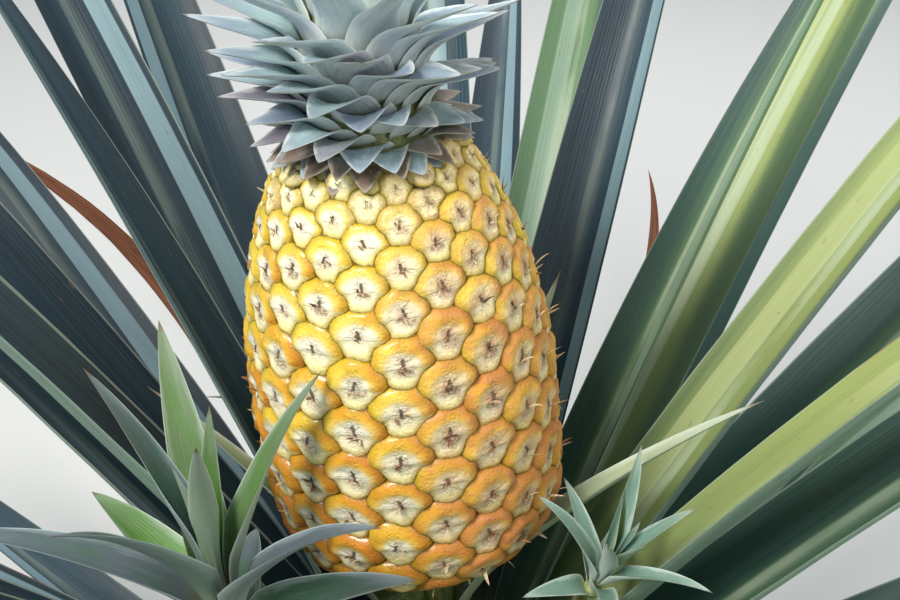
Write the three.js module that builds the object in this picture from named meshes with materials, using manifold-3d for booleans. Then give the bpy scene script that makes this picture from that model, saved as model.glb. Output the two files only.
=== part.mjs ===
// A fruiting pineapple plant, rooted in the ground, in millimetres with +Z up.
// The origin is the centre of the flat cut under the stem, and -Y is the plant's front.
// A short stem carries a spiral of sword leaves, and a stalk that carries the fruit, its leafy top
// and the plantlets that grow at the fruit's foot. Every leaf is a channelled blade that lies on a
// surface of revolution round the axis it grows from, so that the spiral's leaves nest clear of
// each other from the stem outwards.

import * as THREE from "three";
import { mergeVertices } from "three/addons/utils/BufferGeometryUtils.js";
import Module from "manifold-3d";

const wasm = await Module();
wasm.setup();

const GAP = 0.3; // between two pieces that touch
const SAME_POINT = 0.001; // two points as near as this are one
const SAME_CORNER = 0.01; // and so are two corners of the fruit's eyes
const FULL_TURN = 2 * Math.PI;
const GOLDEN_ANGLE = FULL_TURN * 0.381966;
const Z_AXIS = new THREE.Vector3(0, 0, 1);

// Stem
const STEM_HEIGHT = 222;
const STEM_SHOULDER = 205; // where the stem starts to round in to the stalk
const STEM_FOOT_RADIUS = 30;
const STEM_HEAD_RADIUS = 36;
const STEM_FLARE = 7; // how much wider the collar at the ground is
const STEM_FLARE_HEIGHT = 7;
const STEM_SIDES = 28;
const STEM_LEVELS = [0, 6, 14, 30, 60, 100, 150, STEM_SHOULDER];
const STEM_NECK_LEVELS = [0.5, 0.85, 1]; // shares of the way from the shoulder to the top
const STEM_SWELL_HEIGHT = 140; // where the stem has reached its head's radius

// Stalk, from the stem to the fruit
const STALK_RADIUS = 12;
const STALK_SIDES = 12;
const STALK_STEPS = 6;

// Fruit: its axis leans to the front and to the left
const FRUIT_BASE = new THREE.Vector3(-8, -9, 345);
const FRUIT_LEAN_FRONT = THREE.MathUtils.degToRad(5);
const FRUIT_LEAN_LEFT = THREE.MathUtils.degToRad(5);
const FRUIT_HEIGHT = 205;
const FRUIT_RADIUS = 69;
const FRUIT_WIDEST = 0.32; // share of the height at which the fruit is widest
const FRUIT_BELOW = { reach: 0.333, power: 5.5 };
const FRUIT_ABOVE = { reach: 0.775, power: 2.05 };
const FRUIT_FIRST = 0.015; // share of the height at which the eyes start
const FRUIT_CHART_STEPS = 600;
const EYE_ANGLE = FULL_TURN * 0.381306; // from one eye to the next round the axis
const EYE_RISE = FULL_TURN * 0.00257; // and up the fruit, as a share of its radius there
const EYE_FAMILIES = [8, 13, 21]; // the three spirals that meet in each eye
const EYE_TOP_SHARE = 0.58; // size of an eye's flat top
const EYE_GROOVE = 0.075; // depth of the groove round an eye, as a share of the fruit's radius
const EYE_SLOPE = 0.02; // how far an eye's top falls from its middle to its rim
const FRUIT_PHASE = THREE.MathUtils.degToRad(20); // azimuth of the lowest eye

// Leafy top of the fruit: the values in each list run from its lowest leaf to its highest
const TOP_TURN = 250; // azimuth of its lowest leaf, in degrees
const TOP_CORE = { height: 90, radius: 25, tip: 7, sides: 12 };
const TOP_LEAVES = {
  count: 70,
  from: 1,
  to: 86,
  climb: 1.25,
  lengths: [16, 32, 42, 54, 62, 66, 54],
  widths: [10, 12, 13, 12.5, 10.5, 8, 5],
  seats: [10, 56, 68, 76, 82, 88, 90],
  rises: [-28, 0, 14, 28, 48, 68, 86],
  droops: [0, -4, -4, 0, 2, 2, 2],
  root: 0.94, // how far out in the core a leaf starts, as a share of its radius
  bend: 0.4,
  fullness: 1.4,
  channel: 0.24,
  steps: 3,
};

// Plantlets at the fruit's foot, each on a stem that arches out of the stalk. The reach and the
// height are those of its lowest leaf.
const SLIP_CORE = { height: 36, radius: 11, tip: 4, sides: 10 };
const SLIP_STEM = { radius: 6.5, steps: 5, gap: 0.9 }; // the gap is that to the stalk
const SLIP_LEAVES = {
  count: 15,
  from: 2,
  to: 33,
  climb: 1,
  lengths: [70, 110, 146, 150, 84],
  widths: [11, 12.5, 13, 12, 8],
  seats: [36, 58, 72, 84, 90],
  rises: [8, 30, 54, 74, 86],
  droops: [16, 28, 30, 24, 6],
  root: 0.7,
  bend: 0.35,
  fullness: 1.8,
  channel: 0.3,
  steps: 4,
};
const SLIPS = [
  { azimuth: 228, foot: 298, reach: 130, height: 350, tilt: 5, scale: 0.85, turn: 220 },
  { azimuth: 320, foot: 266, reach: 90, height: 340, tilt: 22, scale: 0.45, turn: 332 },
  { azimuth: 84, foot: 300, reach: 82, height: 336, tilt: 24, scale: 0.48, turn: 10 },
  { azimuth: 146, foot: 304, reach: 84, height: 342, tilt: 24, scale: 0.45, turn: 200 },
];

// What the leaves of both tufts share
const TUFT_LEAF = { waist: 0.9, clasp: 50, sway: 0, roll: 0, thin: 0.8, crowding: 1 };
const TUFT_LEAF_THICK = { least: 1.6, share: 0.03 };
const TUFT_SPREAD = { length: 0.08, rise: 5 };
const CORE_TAPER = 1.6; // how late a core narrows
const CORE_LEVELS = [0, 0.5, 1];

// Narrow leaves along the stalk
const STALK_LEAVES = [
  { azimuth: 342, height: 280, length: 210, rise: 52 },
  { azimuth: 186, height: 240, length: 220, rise: 60 },
  { azimuth: 47, height: 268, length: 190, rise: 70 },
  { azimuth: 262, height: 262, length: 150, rise: 40 },
  { azimuth: 122, height: 250, length: 200, rise: 64 },
];
const STALK_LEAF = {
  width: 11,
  seat: 66,
  droop: 12,
  bend: 0.3,
  fullness: 1.6,
  waist: 0.8,
  clasp: 40,
  channel: 0.42,
  sway: 0,
  roll: 0,
  thick: 3,
  thin: 2,
  crowding: 1.2,
  steps: 7,
};
const STALK_LEAF_CLEAR = 1.5; // from the stalk's side to the middle of the leaf's seat

// Sword leaves, from the oldest, at the foot, to the youngest, under the stalk: the values in each
// list run the same way
const SWORD_COUNT = 45;
const SWORD_FROM = 20;
const SWORD_PITCH = 4.1; // from one leaf's seat up to the next one's
const SWORD_PHASE = 12; // azimuth of the oldest leaf, in degrees
const SWORD_LENGTHS = [640, 900, 980, 860, 460];
const SWORD_WIDTHS = [22, 29, 32, 30, 17.5]; // half of the blade's width
const SWORD_SEATS = [46, 56, 64, 72, 80]; // elevation where a leaf leaves the stem, in degrees
const SWORD_RISES = [14, 34, 50, 61, 70]; // elevation of the blade, in degrees
const SWORD_DROOPS = [12, 26, 26, 20, 10]; // how far the tip has bent down from that
const SWORD_LEAF = {
  bend: 0.16,
  fullness: 2.2,
  waist: 0.72,
  clasp: 26,
  channel: 0.42,
  thin: 3,
  crowding: 1.35,
  steps: 11,
};
const SWORD_SLENDER = 90; // length over thickness
const SWORD_SPREAD = { length: 0.06, rise: 2, sway: 3, roll: 0.2 };
const FRONT = THREE.MathUtils.degToRad(270);
const FRONT_OPENING = 0.36; // how much lower the steep leaves in front lie, as a share of their rise
const DRY_SWAYS = { 4: 8, 7: 16 }; // how far the tips of the two dry leaves have swung, in degrees
const DRY_WIDTH = 0.5; // how far a dry leaf has curled up, as a share of its width

// Every leaf: elevations seat, rise and droop in degrees; bend, the share of the length in which it
// turns from its seat to its rise; fullness, how late the blade narrows; waist, its width at the
// seat; clasp, half of the girth it may take, in degrees; channel, the depth of its fold; all three
// as shares of half the width; thick at the midrib and thin towards the tip; crowding, how much
// closer its sections stand near the seat.
const BLADE = { widen: 1.6, taper: 0.9, rootThick: 0.15, thicken: 0.16, thinning: 0.5 };
const MIDRIB_FINE = 12; // steps of the midrib's bend between two sections

const { clamp, degToRad, lerp } = THREE.MathUtils;

// The fruit and its leafy top stand on an axis of their own.
const headTurn = new THREE.Euler(FRUIT_LEAN_FRONT, -FRUIT_LEAN_LEFT, 0);
const fruitAxis = Z_AXIS.clone().applyEuler(headTurn);
const onFruitAxis = (height) =>
  new THREE.Matrix4()
    .makeRotationFromEuler(headTurn)
    .setPosition(FRUIT_BASE.clone().addScaledVector(fruitAxis, height));

// A smooth step from 0 to 1.
const ease = (x) => {
  const t = clamp(x, 0, 1);
  return t * t * (3 - 2 * t);
};

// The value at share x along a row of evenly spaced values.
function along(values, x) {
  const at = clamp(x, 0, 1) * (values.length - 1);
  const low = Math.min(Math.floor(at), values.length - 2);
  return lerp(values[low], values[low + 1], at - low);
}

// A closed solid from rings of equal length, with an optional point at the far end. Neighbouring
// quads are cut along mirrored diagonals, so that a thin blade's two sides bend alike and don't
// pass through each other.
function loft(rings, tip) {
  const count = rings[0].length;
  const points = rings.flat();
  const faces = [];
  for (let ring = 0; ring + 1 < rings.length; ring++) {
    for (let i = 0; i < count; i++) {
      const a = ring * count + i;
      const b = ring * count + ((i + 1) % count);
      if (i % 2) faces.push(a, b, b + count, a, b + count, a + count);
      else faces.push(a, b, a + count, b, b + count, a + count);
    }
  }
  const last = (rings.length - 1) * count;
  for (let i = 1; i + 1 < count; i++) {
    faces.push(0, i + 1, i);
    if (!tip) faces.push(last, last + i, last + i + 1);
  }
  if (tip) {
    const end = points.push(tip) - 1;
    for (let i = 0; i < count; i++) faces.push(last + i, last + ((i + 1) % count), end);
  }
  const geometry = new THREE.BufferGeometry().setFromPoints(points);
  geometry.setIndex(faces);
  return geometry;
}

// Seeded numbers in -1..1, one for each leaf and use, the same on every run.
function wobble(seed, use) {
  const wave = Math.sin(seed * 12.9898 + use * 78.233) * 43758.5453;
  return 2 * (wave - Math.floor(wave)) - 1;
}

// The points of a leaf's midrib in the plane of its axis. It leaves its seat at one elevation, bends
// to its rise within the first part of its length, and droops towards the tip.
function midrib(leaf) {
  const points = [];
  let r = leaf.radius;
  let z = leaf.height;
  let before = 0;
  for (let i = 0; i <= leaf.steps; i++) {
    const share = Math.pow(i / leaf.steps, leaf.crowding);
    for (let j = 1; j <= MIDRIB_FINE; j++) {
      const t = lerp(before, share, (j - 0.5) / MIDRIB_FINE);
      const slope = leafSlope(leaf, t);
      const step = ((share - before) / MIDRIB_FINE) * leaf.length;
      r += step * Math.cos(slope);
      z += step * Math.sin(slope);
    }
    before = share;
    points.push({ share, r, z, slope: leafSlope(leaf, share) });
  }
  return points;
}

function leafSlope(leaf, t) {
  const rise = lerp(leaf.seat, leaf.rise, ease(t / leaf.bend));
  return degToRad(rise - leaf.droop * t * t);
}

// Half of a blade's width at share t of its length.
const bladeWidth = (leaf, t) =>
  leaf.width *
  Math.min(1, leaf.waist + BLADE.widen * t) *
  Math.pow(1 - Math.pow(t, leaf.fullness), BLADE.taper);

// A blade's thickness under the midrib at share t of its length.
const bladeThickness = (leaf, t) =>
  Math.max(
    leaf.thin,
    leaf.thick * lerp(BLADE.rootThick, 1, ease(t / BLADE.thicken)) * (1 - BLADE.thinning * t),
  );

// A blade: rings of four points, the channel's bottom, a margin, the keel and the other margin.
function blade(leaf) {
  const rings = [];
  const ribs = midrib(leaf);
  const point = (azimuth, r, z) => new THREE.Vector3(r * Math.cos(azimuth), r * Math.sin(azimuth), z);
  for (const { share, r, z, slope } of ribs.slice(0, -1)) {
    const width = bladeWidth(leaf, share);
    const clasp = Math.min(Math.asin(Math.min(1, width / r)), degToRad(leaf.clasp));
    const azimuth = leaf.azimuth + leaf.sway * share * share;
    const fold = leaf.channel * width * ease(share / leaf.bend);
    const roll = leaf.roll * width * share;
    const offset = (side, lift) =>
      point(azimuth + side * clasp, r - lift * Math.sin(slope), z + lift * Math.cos(slope));
    const keel = offset(0, -bladeThickness(leaf, share));
    rings.push([offset(0, 0), offset(-1, fold - roll), keel, offset(1, fold + roll)]);
  }
  const end = ribs[ribs.length - 1];
  return loft(rings, point(leaf.azimuth + leaf.sway, end.r, end.z));
}

// The stem's radius at a height.
function stemRadius(z) {
  const body = lerp(STEM_FOOT_RADIUS, STEM_HEAD_RADIUS, ease(z / STEM_SWELL_HEIGHT));
  return body + STEM_FLARE * Math.exp(-z / STEM_FLARE_HEIGHT);
}

function stem() {
  const profile = [new THREE.Vector2(0, 0)];
  for (const z of STEM_LEVELS) profile.push(new THREE.Vector2(stemRadius(z), z));
  const neck = stemRadius(STEM_SHOULDER) - STALK_RADIUS;
  for (const share of STEM_NECK_LEVELS) {
    const radius = STALK_RADIUS + neck * Math.sqrt(1 - share * share);
    profile.push(new THREE.Vector2(radius, lerp(STEM_SHOULDER, STEM_HEIGHT, share)));
  }
  profile.push(new THREE.Vector2(0, STEM_HEIGHT));
  return new THREE.LatheGeometry(profile, STEM_SIDES).rotateX(Math.PI / 2);
}

// The stalk runs up from the stem and turns into line with the fruit.
const stalkFoot = new THREE.Vector3(0, 0, STEM_HEIGHT + GAP);
const stalkEnd = FRUIT_BASE.clone().addScaledVector(fruitAxis, -GAP);
const stalkBend = (stalkEnd.z - stalkFoot.z) / 3;
const stalkCurve = new THREE.CubicBezierCurve3(
  stalkFoot,
  stalkFoot.clone().addScaledVector(Z_AXIS, stalkBend),
  stalkEnd.clone().addScaledVector(fruitAxis, -stalkBend),
  stalkEnd,
);
const stalkCentre = (height) =>
  stalkCurve.getPoint((height - stalkFoot.z) / (stalkEnd.z - stalkFoot.z));

function stalk() {
  const rings = Array.from({ length: STALK_STEPS + 1 }, (_, i) => {
    const along = stalkCurve.getTangent(i / STALK_STEPS);
    const first = new THREE.Vector3(1, 0, 0).projectOnPlane(along).normalize();
    const centre = stalkCurve.getPoint(i / STALK_STEPS);
    return ringOf(centre, first, along.cross(first), STALK_RADIUS, STALK_SIDES);
  });
  return loft(rings);
}

// The fruit's radius at share t of its height.
function fruitRadius(t) {
  const side = t < FRUIT_WIDEST ? FRUIT_BELOW : FRUIT_ABOVE;
  const off = Math.abs(t - FRUIT_WIDEST) / side.reach;
  return FRUIT_RADIUS * Math.sqrt(1 - Math.pow(off, side.power));
}

// A chart of the fruit's skin that keeps angles: the way up it, each step as a share of the radius.
function fruitChart() {
  const rows = [];
  let way = 0;
  for (let i = 0; i <= FRUIT_CHART_STEPS; i++) {
    const t = lerp(FRUIT_FIRST, 1, i / FRUIT_CHART_STEPS);
    const row = { r: fruitRadius(t), z: t * FRUIT_HEIGHT };
    if (i) {
      const { r, z } = rows[i - 1];
      way += Math.hypot(row.r - r, row.z - z) / ((row.r + r) / 2);
    }
    rows.push({ ...row, way });
  }
  return rows;
}

// The point of the skin at an angle and a way up the chart, raised by a share of the radius.
function skinPoint(chart, angle, way, raised) {
  let high = chart.findIndex((row) => row.way >= way);
  high = high < 1 ? (high === 0 ? 1 : chart.length - 1) : high;
  const [a, b] = [chart[high - 1], chart[high]];
  const share = clamp((way - a.way) / (b.way - a.way), 0, 1);
  const run = Math.hypot(b.r - a.r, b.z - a.z);
  const r = lerp(a.r, b.r, share);
  const lift = raised * r;
  const out = r + (lift * (b.z - a.z)) / run;
  const z = lerp(a.z, b.z, share) - (lift * (b.r - a.r)) / run;
  return new THREE.Vector3(out * Math.cos(angle), out * Math.sin(angle), z);
}

// The corners of one eye, round its middle, on the chart: the points as far from it as from two
// neighbours on the spirals.
function eyeCorners() {
  const steps = EYE_FAMILIES.map((family) => {
    const turn = family * EYE_ANGLE;
    return new THREE.Vector2(turn - FULL_TURN * Math.round(turn / FULL_TURN), family * EYE_RISE);
  });
  const around = [...steps, ...steps.map((step) => step.clone().negate())];
  around.sort((a, b) => a.angle() - b.angle());
  return around.map((a, i) => {
    const b = around[(i + 1) % around.length];
    const cross = 2 * (a.x * b.y - a.y * b.x);
    return new THREE.Vector2(
      (b.y * a.lengthSq() - a.y * b.lengthSq()) / cross,
      (a.x * b.lengthSq() - b.x * a.lengthSq()) / cross,
    );
  });
}

// The fruit: a boss with a flat top for each eye, and a cap over each end.
function fruit() {
  const chart = fruitChart();
  const corners = eyeCorners();
  const reach = Math.max(...corners.map((corner) => corner.y));
  const last = chart[chart.length - 1].way - reach;
  const points = [];
  const faces = [];
  const add = (angle, way, raised) => points.push(skinPoint(chart, angle, way, raised)) - 1;
  for (let eye = 0; reach + eye * EYE_RISE <= last; eye++) {
    const angle = FRUIT_PHASE + eye * EYE_ANGLE;
    const way = reach + eye * EYE_RISE;
    const middle = add(angle, way, 0);
    const ring = (share, raised) =>
      corners.map(({ x, y }) => add(angle + share * x, way + share * y, raised));
    const top = ring(EYE_TOP_SHARE, -EYE_SLOPE);
    const rim = ring(1, -EYE_GROOVE);
    corners.forEach((_, i) => {
      const next = (i + 1) % corners.length;
      faces.push(middle, top[i], top[next]);
      faces.push(top[i], rim[i], rim[next], top[i], rim[next], top[next]);
    });
  }
  const skin = new THREE.BufferGeometry().setFromPoints(points);
  skin.setIndex(faces);
  return capped(mergeVertices(skin, SAME_CORNER));
}

// Closes a tube-like mesh with a fan from each open rim to a point on the axis.
function capped(geometry) {
  const faces = [...geometry.index.array];
  const edges = new Set();
  for (let i = 0; i < faces.length; i++) {
    const next = i % 3 === 2 ? i - 2 : i + 1;
    edges.add(`${faces[i]},${faces[next]}`);
  }
  const open = [...edges]
    .map((edge) => edge.split(",").map(Number))
    .filter(([a, b]) => !edges.has(`${b},${a}`));
  const at = geometry.getAttribute("position");
  const points = [];
  for (let i = 0; i < at.count; i++) points.push(new THREE.Vector3().fromBufferAttribute(at, i));
  const foot = points.push(new THREE.Vector3(0, 0, 0)) - 1;
  const head = points.push(new THREE.Vector3(0, 0, FRUIT_HEIGHT)) - 1;
  for (const [a, b] of open) {
    const end = points[a].z < FRUIT_HEIGHT / 2 ? foot : head;
    faces.push(b, a, end);
  }
  const closed = new THREE.BufferGeometry().setFromPoints(points);
  closed.setIndex(faces);
  return closed;
}

// A mesh's geometry as a solid that can be joined or cut.
function solid(geometry) {
  const bare = geometry.clone();
  bare.deleteAttribute("normal");
  bare.deleteAttribute("uv");
  const merged = mergeVertices(bare, SAME_POINT);
  return new wasm.Manifold(
    new wasm.Mesh({
      numProp: 3,
      vertProperties: merged.getAttribute("position").array,
      triVerts: new Uint32Array(merged.index.array),
    }),
  );
}

function geometryOf(body) {
  const mesh = body.getMesh();
  const geometry = new THREE.BufferGeometry();
  geometry.setAttribute("position", new THREE.BufferAttribute(mesh.vertProperties, 3));
  geometry.setIndex(new THREE.BufferAttribute(mesh.triVerts, 1));
  return geometry;
}

// A tuft: a shaft whose top is a tapering core, with a spiral of leaves rooted in it, joined into
// one solid. A leaf that would come within the gap of one of the other pieces is left out.
function tuft(shaft, core, leaves, { scale, turn, place }, others) {
  let joined = solid(loft(shaft));
  for (let i = 0; i < leaves.count; i++) {
    const leaf = solid(blade(tuftLeaf(core, leaves, scale, turn, i)).applyMatrix4(place));
    if (others.every((other) => leaf.minGap(other, 2 * GAP) >= GAP)) joined = joined.add(leaf);
  }
  return geometryOf(outerShell(solid(geometryOf(joined))));
}

// The shell with the most in it, which leaves the pockets that close between leaves filled.
const outerShell = (body) =>
  body.decompose().reduce((a, b) => (b.volume() > a.volume() ? b : a));

// A core's radius at a share of its height.
const coreRadius = (core, share) => lerp(core.radius, core.tip, Math.pow(share, CORE_TAPER));

// A ring of points round a centre, in the plane of two directions.
const ringOf = (centre, first, second, radius, sides) =>
  Array.from({ length: sides }, (_, i) => {
    const angle = (i / sides) * FULL_TURN;
    return centre
      .clone()
      .addScaledVector(first, radius * Math.cos(angle))
      .addScaledVector(second, radius * Math.sin(angle));
  });

// The rings of a tuft's core, which stands along Z in its place.
function coreRings(core, { scale, place }) {
  const column = (i) => new THREE.Vector3().setFromMatrixColumn(place, i);
  return CORE_LEVELS.map((share) => {
    const centre = column(3).addScaledVector(column(2), share * core.height * scale);
    return ringOf(centre, column(0), column(1), coreRadius(core, share) * scale, core.sides);
  });
}

function tuftLeaf(core, leaves, scale, turn, i) {
  const age = i / (leaves.count - 1);
  const height = lerp(leaves.from, leaves.to, Math.pow(age, leaves.climb));
  const length = along(leaves.lengths, age) * (1 + TUFT_SPREAD.length * wobble(i, 1)) * scale;
  const tilt = TUFT_SPREAD.rise * wobble(i, 2);
  return {
    ...TUFT_LEAF,
    azimuth: degToRad(turn) + i * GOLDEN_ANGLE,
    radius: coreRadius(core, height / core.height) * leaves.root * scale,
    height: height * scale,
    length,
    width: along(leaves.widths, age) * scale,
    seat: along(leaves.seats, age) + tilt,
    rise: along(leaves.rises, age) + tilt,
    droop: along(leaves.droops, age),
    bend: leaves.bend,
    fullness: leaves.fullness,
    channel: leaves.channel,
    thick: Math.max(TUFT_LEAF_THICK.least, TUFT_LEAF_THICK.share * length),
    steps: leaves.steps,
  };
}

// Where a plantlet stands: beside the stalk and tilted away from it, with Z along its own axis.
function slipPlace({ azimuth, reach, height, tilt }) {
  return new THREE.Matrix4()
    .makeRotationZ(degToRad(azimuth))
    .multiply(new THREE.Matrix4().makeTranslation(reach, 0, height))
    .multiply(new THREE.Matrix4().makeRotationY(degToRad(tilt)));
}

// The rings of a plantlet's stem, which leaves the stalk level and turns up in to the core.
function slipStem({ azimuth, foot: height, scale, place }) {
  const outward = new THREE.Vector3(1, 0, 0).applyAxisAngle(Z_AXIS, degToRad(azimuth));
  const across = Z_AXIS.clone().cross(outward);
  const foot = stalkCentre(height).addScaledVector(outward, STALK_RADIUS + SLIP_STEM.gap);
  const end = new THREE.Vector3().setFromMatrixPosition(place);
  const heading = new THREE.Vector3().setFromMatrixColumn(place, 2);
  const bend = foot.distanceTo(end) / 2;
  const curve = new THREE.CubicBezierCurve3(
    foot,
    foot.clone().addScaledVector(outward, bend),
    end.clone().addScaledVector(heading, -bend),
    end,
  );
  return Array.from({ length: SLIP_STEM.steps }, (_, i) => {
    const share = i / SLIP_STEM.steps;
    const radius = lerp(SLIP_STEM.radius * Math.sqrt(scale), SLIP_CORE.radius * scale, share * share);
    const along = curve.getTangent(share);
    return ringOf(curve.getPoint(share), across.clone().cross(along), across, radius, SLIP_CORE.sides);
  });
}

// A narrow leaf on the stalk, in the frame of the stalk's centre at its height.
const stalkLeaf = ({ azimuth, height, length, rise }) => ({
  ...STALK_LEAF,
  azimuth: degToRad(azimuth),
  radius: STALK_RADIUS + STALK_LEAF_CLEAR,
  height,
  length,
  rise,
});

// A sword leaf. The leaves in front lie lower, which opens the plant round the fruit there.
function swordLeaf(i) {
  const age = i / (SWORD_COUNT - 1);
  const drySway = DRY_SWAYS[i + 1];
  const azimuth = degToRad(SWORD_PHASE) + i * GOLDEN_ANGLE;
  const height = SWORD_FROM + i * SWORD_PITCH;
  const length = along(SWORD_LENGTHS, age) * (1 + SWORD_SPREAD.length * wobble(i, 3));
  const facing = Math.pow(Math.max(0, Math.cos(azimuth - FRONT)), 2);
  const opening = FRONT_OPENING * facing * ease(2 * age);
  const rise = along(SWORD_RISES, age) + SWORD_SPREAD.rise * wobble(i, 4);
  return {
    ...SWORD_LEAF,
    azimuth,
    radius: (stemRadius(height) + GAP) / Math.cos(degToRad(SWORD_LEAF.clasp) / 2),
    height,
    length,
    width: along(SWORD_WIDTHS, age) * (drySway ? DRY_WIDTH : 1),
    seat: along(SWORD_SEATS, age),
    rise: rise * (1 - opening),
    droop: along(SWORD_DROOPS, age) * (1 - opening),
    sway: degToRad(drySway ?? SWORD_SPREAD.sway * wobble(i, 5)),
    roll: SWORD_SPREAD.roll * wobble(i, 6),
    thick: length / SWORD_SLENDER,
  };
}

const colours = {
  stem: { color: 0x6f6a45, roughness: 0.85 },
  stalk: { color: 0x7d8a52, roughness: 0.75 },
  fruit: { color: 0xe2a02c, roughness: 0.45 },
  top: { color: 0x9fb0a8, roughness: 0.6 },
  slip: { color: 0x6f8f5a, roughness: 0.55 },
  sword: { color: 0x3f6358, roughness: 0.5 },
  dry: { color: 0x8a6040, roughness: 0.85 },
};

function piece(name, geometry, colour) {
  const material = new THREE.MeshStandardMaterial({ ...colours[colour], metalness: 0, flatShading: true });
  const mesh = new THREE.Mesh(geometry, material);
  mesh.name = name;
  return mesh;
}

const plant = new THREE.Group();
const solids = [];
function add(name, geometry, colour) {
  plant.add(piece(name, geometry, colour));
  solids.push(solid(geometry));
}

add("stem", stem(), "stem");
add("stalk", stalk(), "stalk");
add("fruit", fruit().applyMatrix4(onFruitAxis(0)), "fruit");
for (let i = 0; i < SWORD_COUNT; i++) {
  const name = `sword_leaf_${String(i + 1).padStart(2, "0")}`;
  add(name, blade(swordLeaf(i)), DRY_SWAYS[i + 1] ? "dry" : "sword");
}
STALK_LEAVES.forEach((leaf, i) => {
  const { x, y } = stalkCentre(leaf.height);
  const geometry = blade(stalkLeaf(leaf)).translate(x, y, 0);
  add(`stalk_leaf_${i + 1}`, geometry, "slip");
});
const top = { scale: 1, turn: TOP_TURN, place: onFruitAxis(FRUIT_HEIGHT + GAP) };
add("crown", tuft(coreRings(TOP_CORE, top), TOP_CORE, TOP_LEAVES, top, [...solids]), "top");
SLIPS.forEach((slip, i) => {
  const set = { ...slip, place: slipPlace(slip) };
  const shaft = [...slipStem(set), ...coreRings(SLIP_CORE, set)];
  add(`slip_${i + 1}`, tuft(shaft, SLIP_CORE, SLIP_LEAVES, set, [...solids]), "slip");
});

export default plant;
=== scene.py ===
from math import cos, exp, hypot, pi, radians, sin, sqrt
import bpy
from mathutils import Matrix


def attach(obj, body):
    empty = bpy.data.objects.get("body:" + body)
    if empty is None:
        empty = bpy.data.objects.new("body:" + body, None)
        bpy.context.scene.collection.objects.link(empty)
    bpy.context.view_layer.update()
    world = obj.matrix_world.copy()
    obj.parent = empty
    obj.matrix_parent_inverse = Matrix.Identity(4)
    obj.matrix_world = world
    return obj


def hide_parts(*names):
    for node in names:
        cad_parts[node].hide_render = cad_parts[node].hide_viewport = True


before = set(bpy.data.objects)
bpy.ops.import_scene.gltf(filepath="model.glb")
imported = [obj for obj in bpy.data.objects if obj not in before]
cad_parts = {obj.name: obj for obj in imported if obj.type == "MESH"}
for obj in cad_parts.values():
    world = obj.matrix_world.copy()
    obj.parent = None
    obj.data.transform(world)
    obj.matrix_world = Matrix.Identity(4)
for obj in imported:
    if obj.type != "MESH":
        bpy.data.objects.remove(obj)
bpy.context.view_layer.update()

from types import SimpleNamespace

import bmesh
import bpy
from mathutils import Matrix, Vector

# A fruiting pineapple plant. Lengths are in millimetres, as in the part's source, until a piece is
# placed, and its leaves, eyes and plantlets stand where the source's rules put the solids.
MM = 0.001
GAP = 0.3
SEAM = 0.02  # points as near as this are joined
FULL_TURN = 2 * pi
GOLDEN_ANGLE = FULL_TURN * 0.381966
UP = Vector((0, 0, 1))

# Stem and stalk
STEM_HEIGHT = 222
STEM_SHOULDER = 205
STEM_FOOT_RADIUS = 30
STEM_HEAD_RADIUS = 36
STEM_FLARE = 7
STEM_FLARE_HEIGHT = 7
STEM_SWELL_HEIGHT = 140
STEM_LEVELS = [0, 2, 5, 9, 14, *range(20, STEM_SHOULDER, 8), STEM_SHOULDER]
STEM_NECK_LEVELS = [0.3, 0.5, 0.7, 0.85, 0.95, 1]  # shares of the way from the shoulder to the top
STALK_RADIUS = 12
STALK_STEPS = 16
STALK_SINK = 0.6  # room under the radius for the rough rind

# Fruit
FRUIT_BASE = Vector((-8, -9, 345))
FRUIT_LEAN_FRONT = radians(5)
FRUIT_LEAN_LEFT = radians(5)
FRUIT_HEIGHT = 205
FRUIT_RADIUS = 69
FRUIT_WIDEST = 0.32
FRUIT_BELOW = {"reach": 0.333, "power": 5.5}
FRUIT_ABOVE = {"reach": 0.775, "power": 2.05}
FRUIT_SWEEP = 350  # radius of its side, from foot to top
FRUIT_FIRST = 0.015
FRUIT_PHASE = radians(20)
FRUIT_DRY_SIDE = radians(-12)
DRY_FADE = {"from": 0.05, "over": 0.8}  # cosines of the angle off that side
# The skin under the eyes, which shows where their grooves are open
GROOVE_FLOOR = {"share": 0.935, "sink": 0.4, "least": 4, "from": 0.004, "to": 0.996, "steps": 40}
CHART_STEPS = 600
CAP_STEPS = 40
CAP_INNER = 20  # radius at which the eyes end, under the leafy top
CAP_RISE = 1.5
EYE_ANGLE = FULL_TURN * 0.381306
EYE_RISE = FULL_TURN * 0.00257
EYE_REACH = 0.183  # how far up the chart the first eye's middle is
EYE_NEIGHBOURS = (8, 13, 21, -8, -13, -21)  # steps along the spiral to the eyes around one
EYE_COVER = {"from": 0.05, "reach": 12}  # heights over a point at which another eye covers it
EYE_TIPPED = 0.2  # the least that an eye on the flat top counts as facing outwards
FAR = 100  # where there is no eye on that side

# Dry scraps in the eyes. A pair is a middle value and its spread.
SCRAP_PLACE = {"right": (0, 2.6), "up": (-1.6, 1.4), "sunk": 1.5}
LOOSE_SCRAP = {
    "spin": pi, "stand": (0.35, 0), "length": (2.4, 1.2), "width": (1.6, 0.6), "drying": 1.5, "paling": 0,
}
BRACT_TIP = {
    "spin": pi / 4, "stand": (0.9, 0.5), "length": (5, 1.5), "width": (1.9, 0.7),
    "drying": 2.5, "paling": 0.6,
}
SCRAP_CURL = (0.9, 0.8)
SCRAP_PALE = {"above": 0.7, "dryness": 0.9}
SCRAP_EYE_LEAST = 0.4  # the size of an eye at which its scraps stop getting smaller
SCRAPS_MOST = 3  # in an eye

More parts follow.
